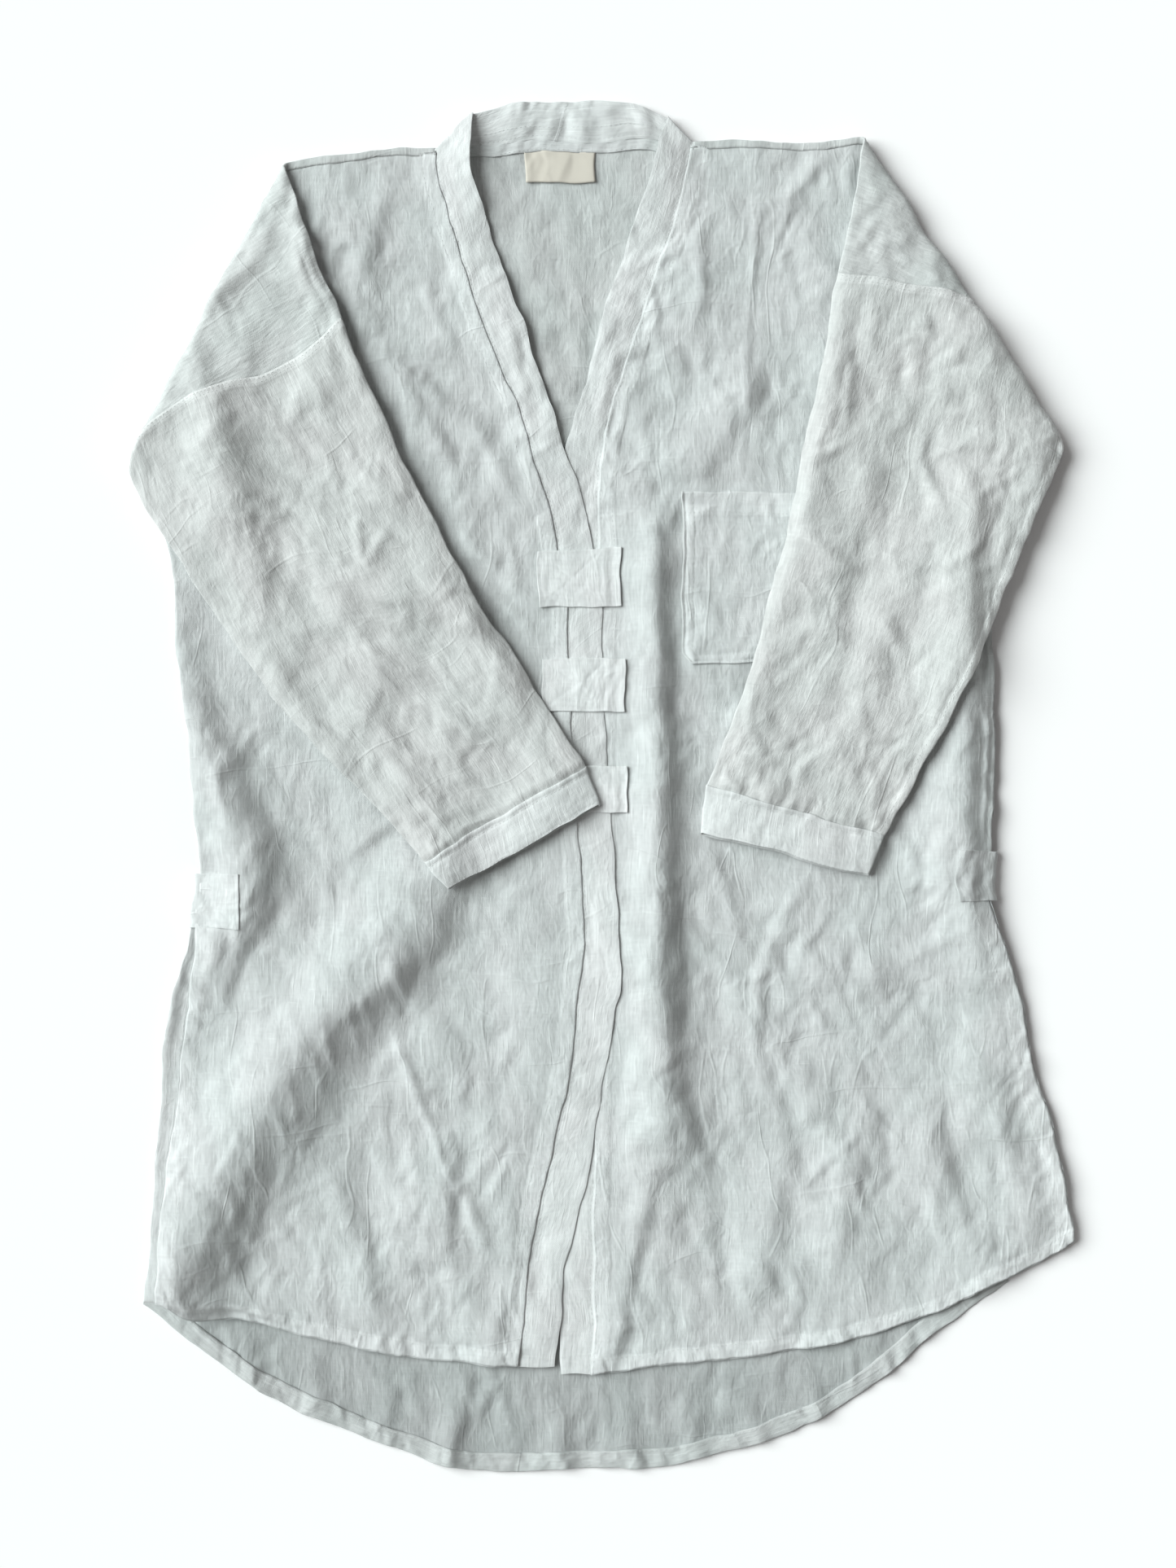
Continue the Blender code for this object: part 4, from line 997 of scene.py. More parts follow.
def put_mesh(name, points, faces, material, flat=None, plies=None):
    """A mesh piece from points in mm and faces of four corners, riding on the garment."""
    points = blunted(wandered(points))
    mesh = bpy.data.meshes.new(name)
    mesh.vertices.add(len(points))
    mesh.vertices.foreach_set("co", (points * MM).ravel())
    mesh.loops.add(faces.size)
    mesh.loops.foreach_set("vertex_index", faces.ravel())
    mesh.polygons.add(len(faces))
    mesh.polygons.foreach_set("loop_start", np.arange(0, faces.size, 4))
    mesh.polygons.foreach_set("loop_total", np.full(len(faces), 4))
    mesh.update(calc_edges=True)
    if flat is not None:
        mesh.uv_layers.new(name="pattern").data.foreach_set("uv", flat.ravel())
    if plies is not None:
        mesh.attributes.new("plies", "FLOAT", "POINT").data.foreach_set("value", plies)
    mesh.validate()
    mesh.shade_smooth()
    mesh.materials.append(material)
    piece = bpy.data.objects.new(name, mesh)
    bpy.context.scene.collection.objects.link(piece)
    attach(piece, "root")
    return piece


WELD = 0.0137


def cloth_piece(name, grids, material, wall=CLOTH, bevel=0.0):
    """A piece of cloth from grids of places, flat places and ply shares, welded where they meet.

    Points that round to the same steps of the weld distance become one. Solidify gives the wall.
    """
    points, flats, plies, faces = [], [], [], []
    count = 0
    for places, flat, ply in grids:
        rows, columns = places.shape[:2]
        index = np.arange(rows * columns).reshape(rows, columns) + count
        corners = np.stack((index[:-1, :-1], index[:-1, 1:], index[1:, 1:], index[1:, :-1]), axis=-1)
        faces.append(corners.reshape(-1, 4))
        points.append(places.reshape(-1, 3))
        flats.append(flat.reshape(-1, 2))
        plies.append(np.broadcast_to(ply, (rows, columns)).ravel())
        count += rows * columns
    points, flats, plies, faces = (np.concatenate(part) for part in (points, flats, plies, faces))
    _, kept, owner = np.unique(np.round(points / WELD).astype(int), axis=0, return_index=True, return_inverse=True)
    owner = owner.reshape(-1)
    piece = put_mesh(name, points[kept], owner[faces], material, flats[faces], plies[kept])
    solidify = piece.modifiers.new("Wall", "SOLIDIFY")
    solidify.thickness = wall * MM
    solidify.offset = 0.0
    if bevel:
        rounded = piece.modifiers.new("Rounded edges", "BEVEL")
        rounded.width = bevel * MM
        rounded.segments = 2
        rounded.limit_method = "ANGLE"
        rounded.angle_limit = math.radians(50)
    return piece


def declare(node):
    """Hide the solid that a piece of cloth stands in for."""
    if node:
        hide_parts(node)


def stitches(lines, lift=0.12):
    """Points and faces of rows of stitches along lines on the cloth: each is a little bar of four
    sides, sunk at both ends and highest in its middle."""
    points, faces = [], []
    count = 0
    for line in lines:
        steps = np.linalg.norm(np.diff(line, axis=0), axis=1)
        run = np.concatenate(([0.0], np.cumsum(steps)))
        starts = np.arange(STITCH_GAP / 2, run[-1] - STITCH_LENGTH, STITCH_LENGTH + STITCH_GAP)
        marks = starts[:, None] + np.array([0.0, 0.22, 0.5, 0.78, 1.0]) * STITCH_LENGTH
        middle = np.stack([np.interp(marks, run, line[:, axis]) for axis in range(3)], axis=-1)
        middle[..., 2] += lift + THREAD * np.array([-1.0, 0.05, 0.3, 0.05, -1.0])
        ahead = unit(middle[:, -1] - middle[:, 0])
        side = unit(np.cross(ahead, [0.0, 0.0, 1.0]))[:, None]
        up = np.array([0.0, 0.0, 1.0])
        size = THREAD / 2 * np.array([0.6, 1.0, 1.1, 1.0, 0.6])[:, None]
        ring = [middle + side * size, middle + up * size, middle - side * size, middle - up * size]
        ring = np.stack(ring, axis=2)
        index = np.arange(ring[..., 0].size).reshape(ring.shape[:3]) + count
        after = np.roll(index, -1, axis=2)
        walls = np.stack((index[:, :-1], index[:, 1:], after[:, 1:], after[:, :-1]), axis=-1)
        faces.append(walls.reshape(-1, 4))
        faces.append(index[:, 0])
        faces.append(index[:, -1, ::-1])
        points.append(ring.reshape(-1, 3))
        count += index.size
    return np.concatenate(points), np.concatenate(faces)


def sew(name, lines, lift=0.12):
    """A piece of stitches in sewing thread."""
    points, faces = stitches(lines, lift)
    piece = put_mesh(name, points, faces, SEWING)
    return piece


# Panels

def front_piece(side):
    """A front with its hem, slit hem, band allowance and dropped shoulder."""
    u, v = SIDES[side]["columns"], FRONT_ROWS
    flat = front_places(side, u, v)
    fall = unit(flat[-2] - flat[-1])
    flat[-1] += fall * (SHOULDER_SEAM_FORWARD - SEAM_LAP)
    from_hem = run_along(flat, 0)
    from_first = run_along(flat, 1)
    width = from_first[:, -1:]
    from_band = width - from_first if side == "right" else from_first
    from_side = width - from_band
    in_slit = smooth_step((SLIT_TOP[side] - flat[..., 1]) / 8.0)
    own = sewn_strip(from_band, from_hem, BAND_ALLOWANCE, 70, 0.6)
    own += in_slit * sewn_strip(from_side, from_hem, SLIT_HEM, 72, 1.5)
    own += sewn_strip(from_hem, from_first, HEM, 74, 2.0)
    own += (BAND_STEP - PLY_STEP) * strip_share(from_band, BAND_ALLOWANCE)
    plies = np.maximum.reduce((
        strip_share(from_band, BAND_ALLOWANCE), in_slit * strip_share(from_side, SLIT_HEM),
        strip_share(from_hem, HEM)))

    def under(x, y):
        lift = climb(x) if side == "right" else 0.0
        return front_rise(x, y) + lift + front_detail(x, y)

    places, turned = fold_over(raised(flat, FRONT_LEVEL), side, under, over_rise)
    places[..., 2] += (1 - turned) * own
    name = "front_%s_cloth" % side
    piece = cloth_piece(name, [(places, flat, plies)], BODY_LINEN)
    hem_line = line_at(places.transpose(1, 0, 2), from_hem.T, HEM - STITCH_INSET)
    slit_rows = int((flat[:, 0, 1] < SLIT_TOP[side]).sum())
    slit_places, slit_run = places[:slit_rows], from_side[:slit_rows]
    band_places, band_run = places, from_band
    if side == "left":
        slit_places, slit_run = slit_places[:, ::-1], slit_run[:, ::-1]
    else:
        band_places, band_run = places[:, ::-1], from_band[:, ::-1]
    lines = [
        hem_line,
        line_at(slit_places, slit_run, SLIT_HEM - STITCH_INSET),
        line_at(band_places, band_run, BAND_ALLOWANCE - STITCH_INSET),
        line_at(band_places, band_run, STITCH_INSET)]
    thread = sew("front_%s_stitching" % side, lines, CLOTH / 2)
    level = front_level if side == "left" else overlap_level
    sign = -1.0 if side == "right" else 1.0
    for what, edge, inward, depth in (("hem", "front_hem", 1.0, HEM), ("slit_hem", "front_slit", sign, SLIT_HEM)):
        places_along = soft_curve(corners_of(SIDES[side][edge]), graded((300, 3.2)))
        name_of_hem = "front_%s_%s" % (side, what)
        (hem_piece(
            name_of_hem, places_along, inward, depth, level, BODY_LINEN, 76, side_up=-1.0)[0])
    declare(
        "front_" + side)
    return piece


def front_level(x, y):
    """Height of the left front where a ply is turned under it."""
    return FRONT_LEVEL + front_rise(x, y) + front_detail(x, y) + PLY_STEP


def overlap_level(x, y):
    """Height of the right front where a ply is turned under it."""
    return front_level(x, y) + climb(x)


def back_level(x, y):
    """Height of the back."""
    return BACK_LEVEL + back_detail(x, y)


def back_shoulder(edge, side, columns):
    """Rows that roll the back over a shoulder edge and a little forward, to the shoulder seam."""
    seam = soft_curve(corners_of(SIDES[side]["shoulder"]), columns)
    flat = front_places(side, columns, np.array([0.98, 1.0]))
    seam += unit(flat[0] - flat[1]) * SHOULDER_SEAM_FORWARD
    angle = EDGE_ANGLES[:, None]
    roll = np.broadcast_to(edge, (len(EDGE_ANGLES),) + edge.shape).copy()
    roll[..., 1] += EDGE_ROLL * np.sin(angle)
    height = np.broadcast_to(BACK_LEVEL + EDGE_ROLL * (1 - np.cos(angle)), roll.shape[:2])
    shares = np.linspace(0, 1, 4)[:, None, None]
    forward = edge * (1 - shares) + seam * shares
    lift = FRONT_LEVEL + PLY_STEP * smooth_step(shares[..., 0] * 2) * np.ones(len(edge))
    return np.concatenate((
        raised(edge, BACK_LEVEL)[None], raised(roll, height), raised(forward, lift)))


def back_piece():
    """The back from hem to shoulders, and over each shoulder to the seam on the front."""
    right, left = BACK_COLUMNS["right"], BACK_COLUMNS["left"]
    right_edge = soft_curve(corners_of(SHOULDER_RIGHT), right)
    left_edge = soft_curve(corners_of(SHOULDER_LEFT), left)
    neck = soft_curve(corners_of(BACK_NECK), NECK_COLUMNS)
    top = np.vstack((right_edge, neck[1:-1], left_edge))
    steps = np.linalg.norm(np.diff(top, axis=0), axis=1)
    columns = np.concatenate(([0.0], np.cumsum(steps))) / steps.sum()
    hem = soft_curve(corners_of(BACK_HEM), columns)
    first, last = side_edge("right", "back_slit", BACK_ROWS), side_edge("left", "back_slit", BACK_ROWS)
    flat = filled_patch(hem, top, first, last, columns, BACK_ROWS)
    grids = [(raised(flat, BACK_LEVEL), flat)]
    for edge, side, share in ((right_edge, "right", right), (left_edge, "left", left)):
        places = back_shoulder(edge, side, share)
        away = run_along(places, 0)[..., None] * np.array([0.0, 1.0])
        grids.append((places, edge + away))

    def over(x, y):
        return over_rise(x, y) + top_detail(x, y)

    made = []
    for places, cut in grids:
        lapped = np.clip((places[..., 2] - BACK_LEVEL) / PITCH, 0, 1)
        places, on_right = fold_over(places, "right", no_rise, over)
        places, on_left = fold_over(places, "left", no_rise, over)
        turned = np.maximum(on_right, on_left)
        # The back's colour is paler upward from y -100 to y 200 and where it is turned over the shoulders, and darker
        # towards the hem; this goes in as the share of plies, though no plies change
        paler_upward = 0.7 * smooth_step((places[..., 1] + 100) / 300)
        x, y = places[..., 0], places[..., 1]
        on_front = front_rise(x, y) + front_detail(x, y)
        places[..., 2] += (1 - turned) * ((1 - lapped) * back_detail(x, y) + lapped * on_front)
        made.append((places, cut, np.maximum(turned, paler_upward)))
    piece = cloth_piece("back_cloth", made, BACK_LINEN)
    neck_edge = soft_curve(corners_of(BACK_NECK), graded((180, 2.5)))
    right_slit, left_slit = (
        soft_curve(corners_of(SIDES[side]["back_slit"]), graded((290, 3.2))) for side in ("right", "left"))
    strips = [
        hem_piece("back_hem", soft_curve(corners_of(BACK_HEM), graded((650, 1.9))), 1.0, BACK_HEM_DEPTH,
                  back_level, BACK_LINEN, 80),
        hem_piece("back_slit_hem_right", right_slit, -1.0, SLIT_HEM, back_level, BAND_LINEN, 82),
        hem_piece("back_slit_hem_left", left_slit, 1.0, SLIT_HEM, back_level, BAND_LINEN, 84),
        hem_piece("neck_strip", neck_edge, -1.0, NECK_STRIP, back_level, BODY_LINEN, 86, rolled=False)]
    thread = sew("back_stitching", [line for _, line in strips], 0.2)
    declare(
        "back")
    return piece


def back_detail(x, y):
    """Crumple of the back where it shows, in the neck opening and below the fronts, never below
    the surface that it lies on."""
    shows = np.maximum(smooth_step((y - 100) / 60), smooth_step((-370 - y) / 25))
    crushed = (0.2 + 3.0 * shows) * np.clip(0.5 + 0.6 * crumple(x, y, 90), 0, 1.6)
    return crushed + creased(BACK_CREASES, x, y) + swept(BACK_SWEEPS, x, y)


def band_sections(side, back_share, front_share):
    """Sewn and free edge of a band from the back of the neck to the hem, each one's height, and
    where it lies on the front."""
    outward = OUTWARD[side]
    half = NECK_MIDDLE + (NECK_MIDDLE if outward < 0 else 1 - NECK_MIDDLE) * outward * back_share
    sewn_back = soft_curve(corners_of(BACK_NECK), half)
    free_back = soft_curve(corners_of(BAND_BACK_FREE), half)
    band = SIDES[side]["band"]
    sewn_front = sewn_edge(side, front_share)
    free_places = np.column_stack((band["free_x"], band["y"]))
    free_front = soft_curve(np.vstack((free_places, free_back[-1])), front_share)
    run = unit(free_back[-1] - sewn_back[-1])
    turn = np.array([-run[1], run[0]])
    turn *= math.copysign(1.0, turn[0]) * outward
    rolled = turn * EDGE_ROLL * np.sin(EDGE_ANGLES)[:, None]
    sewn = np.vstack((sewn_back, sewn_back[-1] + rolled, sewn_front))
    free = np.vstack((free_back, free_back[-1] + rolled, free_front))
    height = np.concatenate((
        np.full(len(sewn_back), BACK_LEVEL),
        BACK_LEVEL + EDGE_ROLL * (1 - np.cos(EDGE_ANGLES)),
        np.full(len(sewn_front), FRONT_LEVEL)))
    on_front = np.concatenate((
        np.zeros(len(sewn_back)), (1 - np.cos(EDGE_ANGLES)) / 2, np.ones(len(sewn_front))))
    return sewn, free, height, on_front


def band_piece(side):
    """Half of the neck band: flat behind the neck, turned at the shoulder, down the front.

    Each place is a blend of the sewn edge, lapped on to the panel, and the free edge. The band
    is fullest in its middle: a sine across it, and behind the neck it ripples.
    """
    sewn, free, height, on_front = band_sections(side, BAND_BACK_ROWS, BAND_FRONT_ROWS)
    across_run = unit(free - sewn)
    width = np.linalg.norm(free - sewn, axis=1)[:, None]
    lap = BAND_LAP * (1 + np.exp(-((sewn[:, 1:] - 450) / 6.0)**2) * on_front[:, None])
    sewn = sewn - across_run * lap
    u = BAND_COLUMNS[None, :, None]
    flat = sewn[:, None] * (1 - u) + free[:, None] * u
    along = run_along((sewn + free) / 2, 0)[:, None] * np.ones(len(BAND_COLUMNS))
    across = u[..., 0] * (width + BAND_LAP)
    x, y = flat[..., 0], flat[..., 1]
    front = front_rise(x, y) + front_detail(x, y) + (climb(x) if side == "right" else 0.0)
    behind = back_detail(x, y) + neck_ripple(x, y)
    own = 0.5 * np.sin(math.pi * u[..., 0]) + 0.3 * noise(along / 9.0, across / 26.0, 120 + len(side)) * u[..., 0]
    own = own - 0.1 - 0.12 * np.exp(-((across - BAND_LAP - STITCH_INSET) / 0.9)**2)
    own += (0.6 + 0.4 * np.exp(-((across - BAND_FACING) / 1.0)**2)) * (1 - on_front[:, None])
    own += JOIN_LIFT[side] * np.exp(-(along / 2.5)**2)
    own += NECK_STAND[side] * u[..., 0]**1.5 * np.exp(-((y - 440) / 34.0)**2)
    share = on_front[:, None]
    places = raised(flat, height[:, None] + share * front + (1 - share) * behind + own)
    cut = np.stack((across, along), axis=-1)
    name = "neck_band_%s_cloth" % side
    piece = cloth_piece(name, [(places, cut, 0.3)], BAND_LINEN, DOUBLED, bevel=0.3)
    lines = [line_at(places, across, BAND_LAP + STITCH_INSET)]
    back_rows = on_front == 0
    lines.append(line_at(places[back_rows], across[back_rows], BAND_FACING))
    if side == "left":
        lines.append(line_at(places.transpose(1, 0, 2), along.T, STITCH_INSET))
    thread = sew("neck_band_%s_stitching" % side, lines, DOUBLED / 2)
    declare(
        "neck_band_" + side)
    return piece


def neck_ripple(x, y):
    """Ripples of the band behind the neck, across it: bell curves along x at uneven places."""
    height = np.zeros_like(x)
    for middle, width, size in NECK_RIPPLES:
        height += size * np.exp(-((x - middle - 0.08 * (y - 470)) / width)**2)
    return height * smooth_step((y - 452) / 14.0)


def sleeve_grid(start, end, top, under, along, side):
    """A flattened tube between two open ends, its two layers joined by a roll at each edge.

    Its rings run down the layer that was sewn to the front from the top edge to the underarm,
    round, and back up the layer that shows once the sleeve is turned over. Returned with the
    bent places are the flat ones, how much each belongs to the layer that shows, and its
    distances from the underarm edge, from the top edge and along the sleeve.
    """
    under_flat = filled_patch(start(UNDER_COLUMNS), end(UNDER_COLUMNS), top, under, UNDER_COLUMNS, along)
    over_flat = filled_patch(start(SLEEVE_COLUMNS), end(SLEEVE_COLUMNS), top, under, SLEEVE_COLUMNS, along)
    at_under = unit(over_flat[:, -1] - over_flat[:, -2])[:, None]
    at_top = unit(over_flat[:, 0] - over_flat[:, 1])[:, None]
    bulge = (EDGE_ROLL * np.sin(EDGE_ANGLES))[None, :, None]
    fall = FRONT_LEVEL - EDGE_ROLL * (1 - np.cos(EDGE_ANGLES))
    under_roll = raised(over_flat[:, -1:] + at_under * bulge, np.broadcast_to(fall, (len(along), len(fall))))
    top_roll = raised(over_flat[:, :1] + at_top * bulge, np.broadcast_to(fall[::-1], (len(along), len(fall))))
    front = raised(under_flat, FRONT_LEVEL)
    back = raised(over_flat[:, ::-1], BACK_LEVEL)
    rings = np.concatenate((front, under_roll, back, top_roll, front[:, :1]), axis=1)
    shown = (FRONT_LEVEL - rings[..., 2]) / PITCH
    across, lengthwise = run_along(over_flat, 1), run_along(over_flat, 0)
    far = across[:, -1:]
    roll = np.ones(len(EDGE_ANGLES))
    from_top = np.concatenate(
        (run_along(under_flat, 1), far * roll, across[:, ::-1], 0 * far * roll, 0 * far), axis=1)
    from_start = np.concatenate((
        run_along(under_flat, 0), lengthwise[:, -1:] * roll, lengthwise[:, ::-1],
        lengthwise[:, :1] * roll, lengthwise[:, :1]), axis=1)
    return rings, over_flat, shown, from_top, far, from_start


def sleeve_pieces(side):
    """A sleeve and its cuff band, folded over the front together.

    The layer that shows is puffed up beside both long edges by an exponential, and has a felled
    armhole strip, an underarm strip on the left sleeve only, and the pull of the cuff seam.
    """
    pattern = SIDES[side]
    outward = np.array([OUTWARD[side], 0.0])
    end_top, end_under = corners_of(pattern["cuff"])
    wrist_top, wrist_under = corners_of(pattern["top"])[-1], corners_of(pattern["under"])[-1]

    def armhole(share):
        return soft_curve(corners_of(pattern["armhole"])[::-1], share) - outward * SEAM_LAP

    def wrist(share):
        return wrist_top * (1 - share[:, None]) + wrist_under * share[:, None]

    def opening(share):
        return end_top * (1 - share[:, None]) + end_under * share[:, None]

    def lifted(rings, own, shown, calm=0.0):
        def over(x, y):
            crushed = top_detail(x, y)
            smooth = TOP_LOFT + PRINT_THROUGH * front_detail(x, y)
            showing = crushed + calm * (smooth - crushed)
            hidden = 0.2 * showing
            return over_rise(x, y) + hidden + shown * (showing - hidden)
        bent, turned = fold_over(rings, side, no_rise, over)
        bent[..., 2] += turned * shown * own
        return bent

    top = soft_curve(corners_of(pattern["top"]), SLEEVE_ROWS)
    under = soft_curve(corners_of(pattern["under"]), SLEEVE_ROWS)
    ends = armhole(np.array([0.0, 1.0]))
    top[0], under[0] = ends
    rings, flat, shown, from_top, far, from_start = sleeve_grid(armhole, wrist, top, under, SLEEVE_ROWS, side)
    from_under = far - from_top
    to_cuff = from_start[-1:] - from_start
    own = SLEEVE_PUFF * (1 - np.exp(-from_top / 9.0)) * (1 - np.exp(-np.maximum(from_under, 0) / 9.0))
    own += sewn_strip(from_start, from_top, ARMHOLE_FELL, 130, 0.5)
    fell = UNDERARM_FELL[side]
    if fell:
        own += sewn_strip(from_under, from_start, fell, 132, 0.5)
    pull = noise(from_top / 8.0, to_cuff / 26.0, 134)
    own += 1.1 * pull * np.exp(-(to_cuff / 20.0)**2) - 0.9 * np.exp(-(to_cuff / 2.2)**2)
    own += 0.8 * np.exp(-((to_cuff - 6.0) / 3.0)**2)
    own -= 0.5 * np.exp(-((from_under - fell) / 1.3)**2) if fell else 0.0
    bent = lifted(rings, own, shown)
    cut = np.stack((from_top, from_start), axis=-1)
    plies = strip_share(from_start, ARMHOLE_FELL)
    if fell:
        plies = np.maximum(plies, strip_share(from_under, fell))
    plies = shown * plies
    sleeve = cloth_piece("sleeve_%s_cloth" % side, [(bent, cut, plies)], SLEEVE_LINEN)
    first = len(UNDER_COLUMNS) + len(EDGE_ANGLES)
    over_layer = slice(first, first + len(SLEEVE_COLUMNS))
    shown_places, shown_run = bent[:, over_layer], from_top[:, over_layer]
    shown_start = from_start[:, over_layer]
    lines = [
        line_at(shown_places.transpose(1, 0, 2), shown_start.T, inset)
        for inset in (STITCH_INSET, ARMHOLE_FELL - STITCH_INSET)]
    to_under = (far - shown_run)
    if fell:
        lines.append(line_at(shown_places, to_under, fell - STITCH_INSET))
    thread = sew("sleeve_%s_stitching" % side, lines, CLOTH / 2)
    declare(
        "sleeve_" + side)

    lap = unit((end_top - wrist_top)[None])[0] * SEAM_LAP
    edges = [
        (begin - lap) * (1 - CUFF_ROWS[:, None]) + finish * CUFF_ROWS[:, None]
        for begin, finish in ((wrist_top, end_top), (wrist_under, end_under))]
    rings, flat, shown, from_top, far, from_start = sleeve_grid(
        lambda share: wrist(share) - lap, opening, edges[0], edges[1], CUFF_ROWS, side)
    depth = from_start.max()
    from_under = far - from_top
    own = SLEEVE_PUFF * (1 - np.exp(-from_top / 9.0)) * (1 - np.exp(-np.maximum(from_under, 0) / 9.0))
    own += 0.5 + 0.45 * noise(from_top / 9.0, from_start / 24.0, 140) * np.exp(-(from_start / 14.0)**2)
    own += 0.6 * np.exp(-((from_start - 1.2) / 1.1)**2)
    for inset in (SEAM_LAP + 2 * STITCH_INSET, depth - 2 * STITCH_INSET):
        own -= 0.4 * np.exp(-((from_start - inset) / 1.0)**2)
    rings[..., :2] -= (lap / SEAM_LAP) * (CUFF_PEEP * shown * (from_start / depth)**2)[..., None]
    bent = lifted(rings, own, shown, 0.65 * smooth_step(from_start / 8.0))
    cut = np.stack((from_top, from_start), axis=-1)
    cuff = cloth_piece("cuff_%s_cloth" % side, [(bent, cut, 0.4)], BAND_LINEN, DOUBLED, bevel=0.3)
    shown_places, shown_start = bent[:, over_layer], from_start[:, over_layer]
    lines = [
        line_at(shown_places.transpose(1, 0, 2), shown_start.T, inset)
        for inset in (SEAM_LAP + 2 * STITCH_INSET, depth - 2 * STITCH_INSET)]
    thread = sew("cuff_%s_stitching" % side, lines, DOUBLED / 2)
    declare(
        "cuff_" + side)


def no_rise(x, y):
    """A layer that lies flat."""
    return np.zeros_like(x)


def pocket_piece():
    """The chest pocket: a patch on the left front, its edges turned under and sewn twice.

    A Coons patch between its four sides, one of which has the cut corner in it. It lies a ply
    above the front, a little fuller in its middle, and its open top edge stands off.
    """
    places = corners_of(POCKET)
    u, v = POCKET_COLUMNS, POCKET_ROWS
    left_side = places[[2, 1, 0]]
    run = np.concatenate(([0.0], np.cumsum(np.linalg.norm(np.diff(left_side, axis=0), axis=1))))
    first = np.stack([np.interp(v * run[-1], run, left_side[:, axis]) for axis in range(2)], axis=-1)
    last = places[3] * (1 - v[:, None]) + places[4] * v[:, None]
    low = places[2] * (1 - u[:, None]) + places[3] * u[:, None]
    high = places[0] * (1 - u[:, None]) + places[4] * u[:, None]
    flat = filled_patch(low, high, first, last, u, v)
    from_first, from_low = run_along(flat, 1), run_along(flat, 0)
    from_last = from_first[:, -1:] - from_first
    from_top = from_low[-1:] - from_low
    edge = np.minimum(np.minimum(from_first, from_last), from_low)
    own = POCKET_LIFT + 0.5 * (1 - np.exp(-edge / 14.0)) + 0.8 * np.exp(-(from_top / 12.0)**2)
    own += 0.3 * noise(from_low / 8.0, from_first / 20.0, 150) * np.exp(-(edge / 9.0)**2)
    own += 0.35 * crumple(flat[..., 0], flat[..., 1], 155) * (1 - np.exp(-edge / 10.0))
    own += 0.5 * np.exp(-(edge / 1.0)**2)
    for inset in POCKET_STITCHES:
        own -= 0.5 * np.exp(-((edge - inset - 0.8) / 1.0)**2)
    own += 0.3 * strip_share(from_top, POCKET_HEM)
    x, y = flat[..., 0], flat[..., 1]
    bent = raised(flat, FRONT_LEVEL + front_rise(x, y) + front_detail(x, y) + own)
    plies = np.maximum(0.35, np.maximum(strip_share(edge, POCKET_STITCHES[1]), strip_share(from_top, POCKET_HEM)))
    piece = cloth_piece("pocket_cloth", [(bent, flat, plies)], BODY_LINEN, 0.7)
    lines = []
    for inset in POCKET_STITCHES:
        lines.append(line_at(bent, from_first, inset))
        lines.append(line_at(bent.transpose(1, 0, 2), from_low.T, inset))
        lines.append(line_at(bent[:, ::-1], from_last[:, ::-1], inset))
    lines.append(line_at(bent[::-1].transpose(1, 0, 2), from_top[::-1].T, POCKET_HEM - STITCH_INSET))
    thread = sew("pocket_stitching", lines, 0.35)
    declare(
        "pocket")


def tab_height(x, y, drop_x):
    """A tab's height: flat on the upper band, then down a smooth step on to the left front."""
    drop = smooth_step((x - drop_x) / TAB_DROP_LENGTH)
    return TAB_LIE - (TAB_LIE - TAB_LOW) * drop + front_rise(x, y) + front_detail(x, y)


def tab_piece(number):
    """A closing tab with its stitched box and cross over the band."""
    row = {name: values[number] for name, values in TABS.items()}
    x = np.linspace(row["left"], row["right"], 64)
    y = np.linspace(row["bottom"], row["top"], 46)
    x, y = np.meshgrid(x, y)
    lean = TAB_LEAN[number] * (x - row["left"]) / (row["right"] - row["left"])
    flat = np.stack((x, y + lean), axis=-1)
    x, y = flat[..., 0], flat[..., 1]
    box = (row["left"] + 2.2, row["drop_x"] - 1.2, row["bottom"] + 2.4, row["top"] - 2.4)
    corners = [(box[0], box[2]), (box[1], box[2]), (box[1], box[3]), (box[0], box[3])]
    runs = [(corners[i], corners[(i + 1) % 4]) for i in range(4)] + [(corners[0], corners[2]), (corners[1], corners[3])]
    groove = np.zeros_like(x)
    lines = []
    for start, end in runs:
        share = np.linspace(0, 1, 60)
        line = np.array(start) * (1 - share[:, None]) + np.array(end) * share[:, None]
        line[:, 1] += TAB_LEAN[number] * (line[:, 0] - row["left"]) / (row["right"] - row["left"])
        lines.append(raised(line, tab_height(line[:, 0], line[:, 1], row["drop_x"]) + 0.05))
        run = np.array(line[-1]) - line[0]
        length = np.linalg.norm(run)
        along = np.clip(((x - line[0, 0]) * run[0] + (y - line[0, 1]) * run[1]) / length**2, 0, 1)
        distance = np.hypot(x - line[0, 0] - along * run[0], y - line[0, 1] - along * run[1])
        groove = np.maximum(groove, np.exp(-(distance / 1.3)**2))
    puff = 0.25 + 0.2 * (1 - groove) + 0.15 * noise(x / 7.0, y / 7.0, 160 + number)
    places = raised(flat, tab_height(x, y, row["drop_x"]) + puff)
    name = "closure_tab_%d" % (number + 1)
    piece = cloth_piece(name + "_cloth", [(places, flat, 0.8)], BAND_LINEN, DOUBLED, bevel=0.3)
    thread = sew(name + "_stitching", lines, DOUBLED / 2)
    declare(
        name)


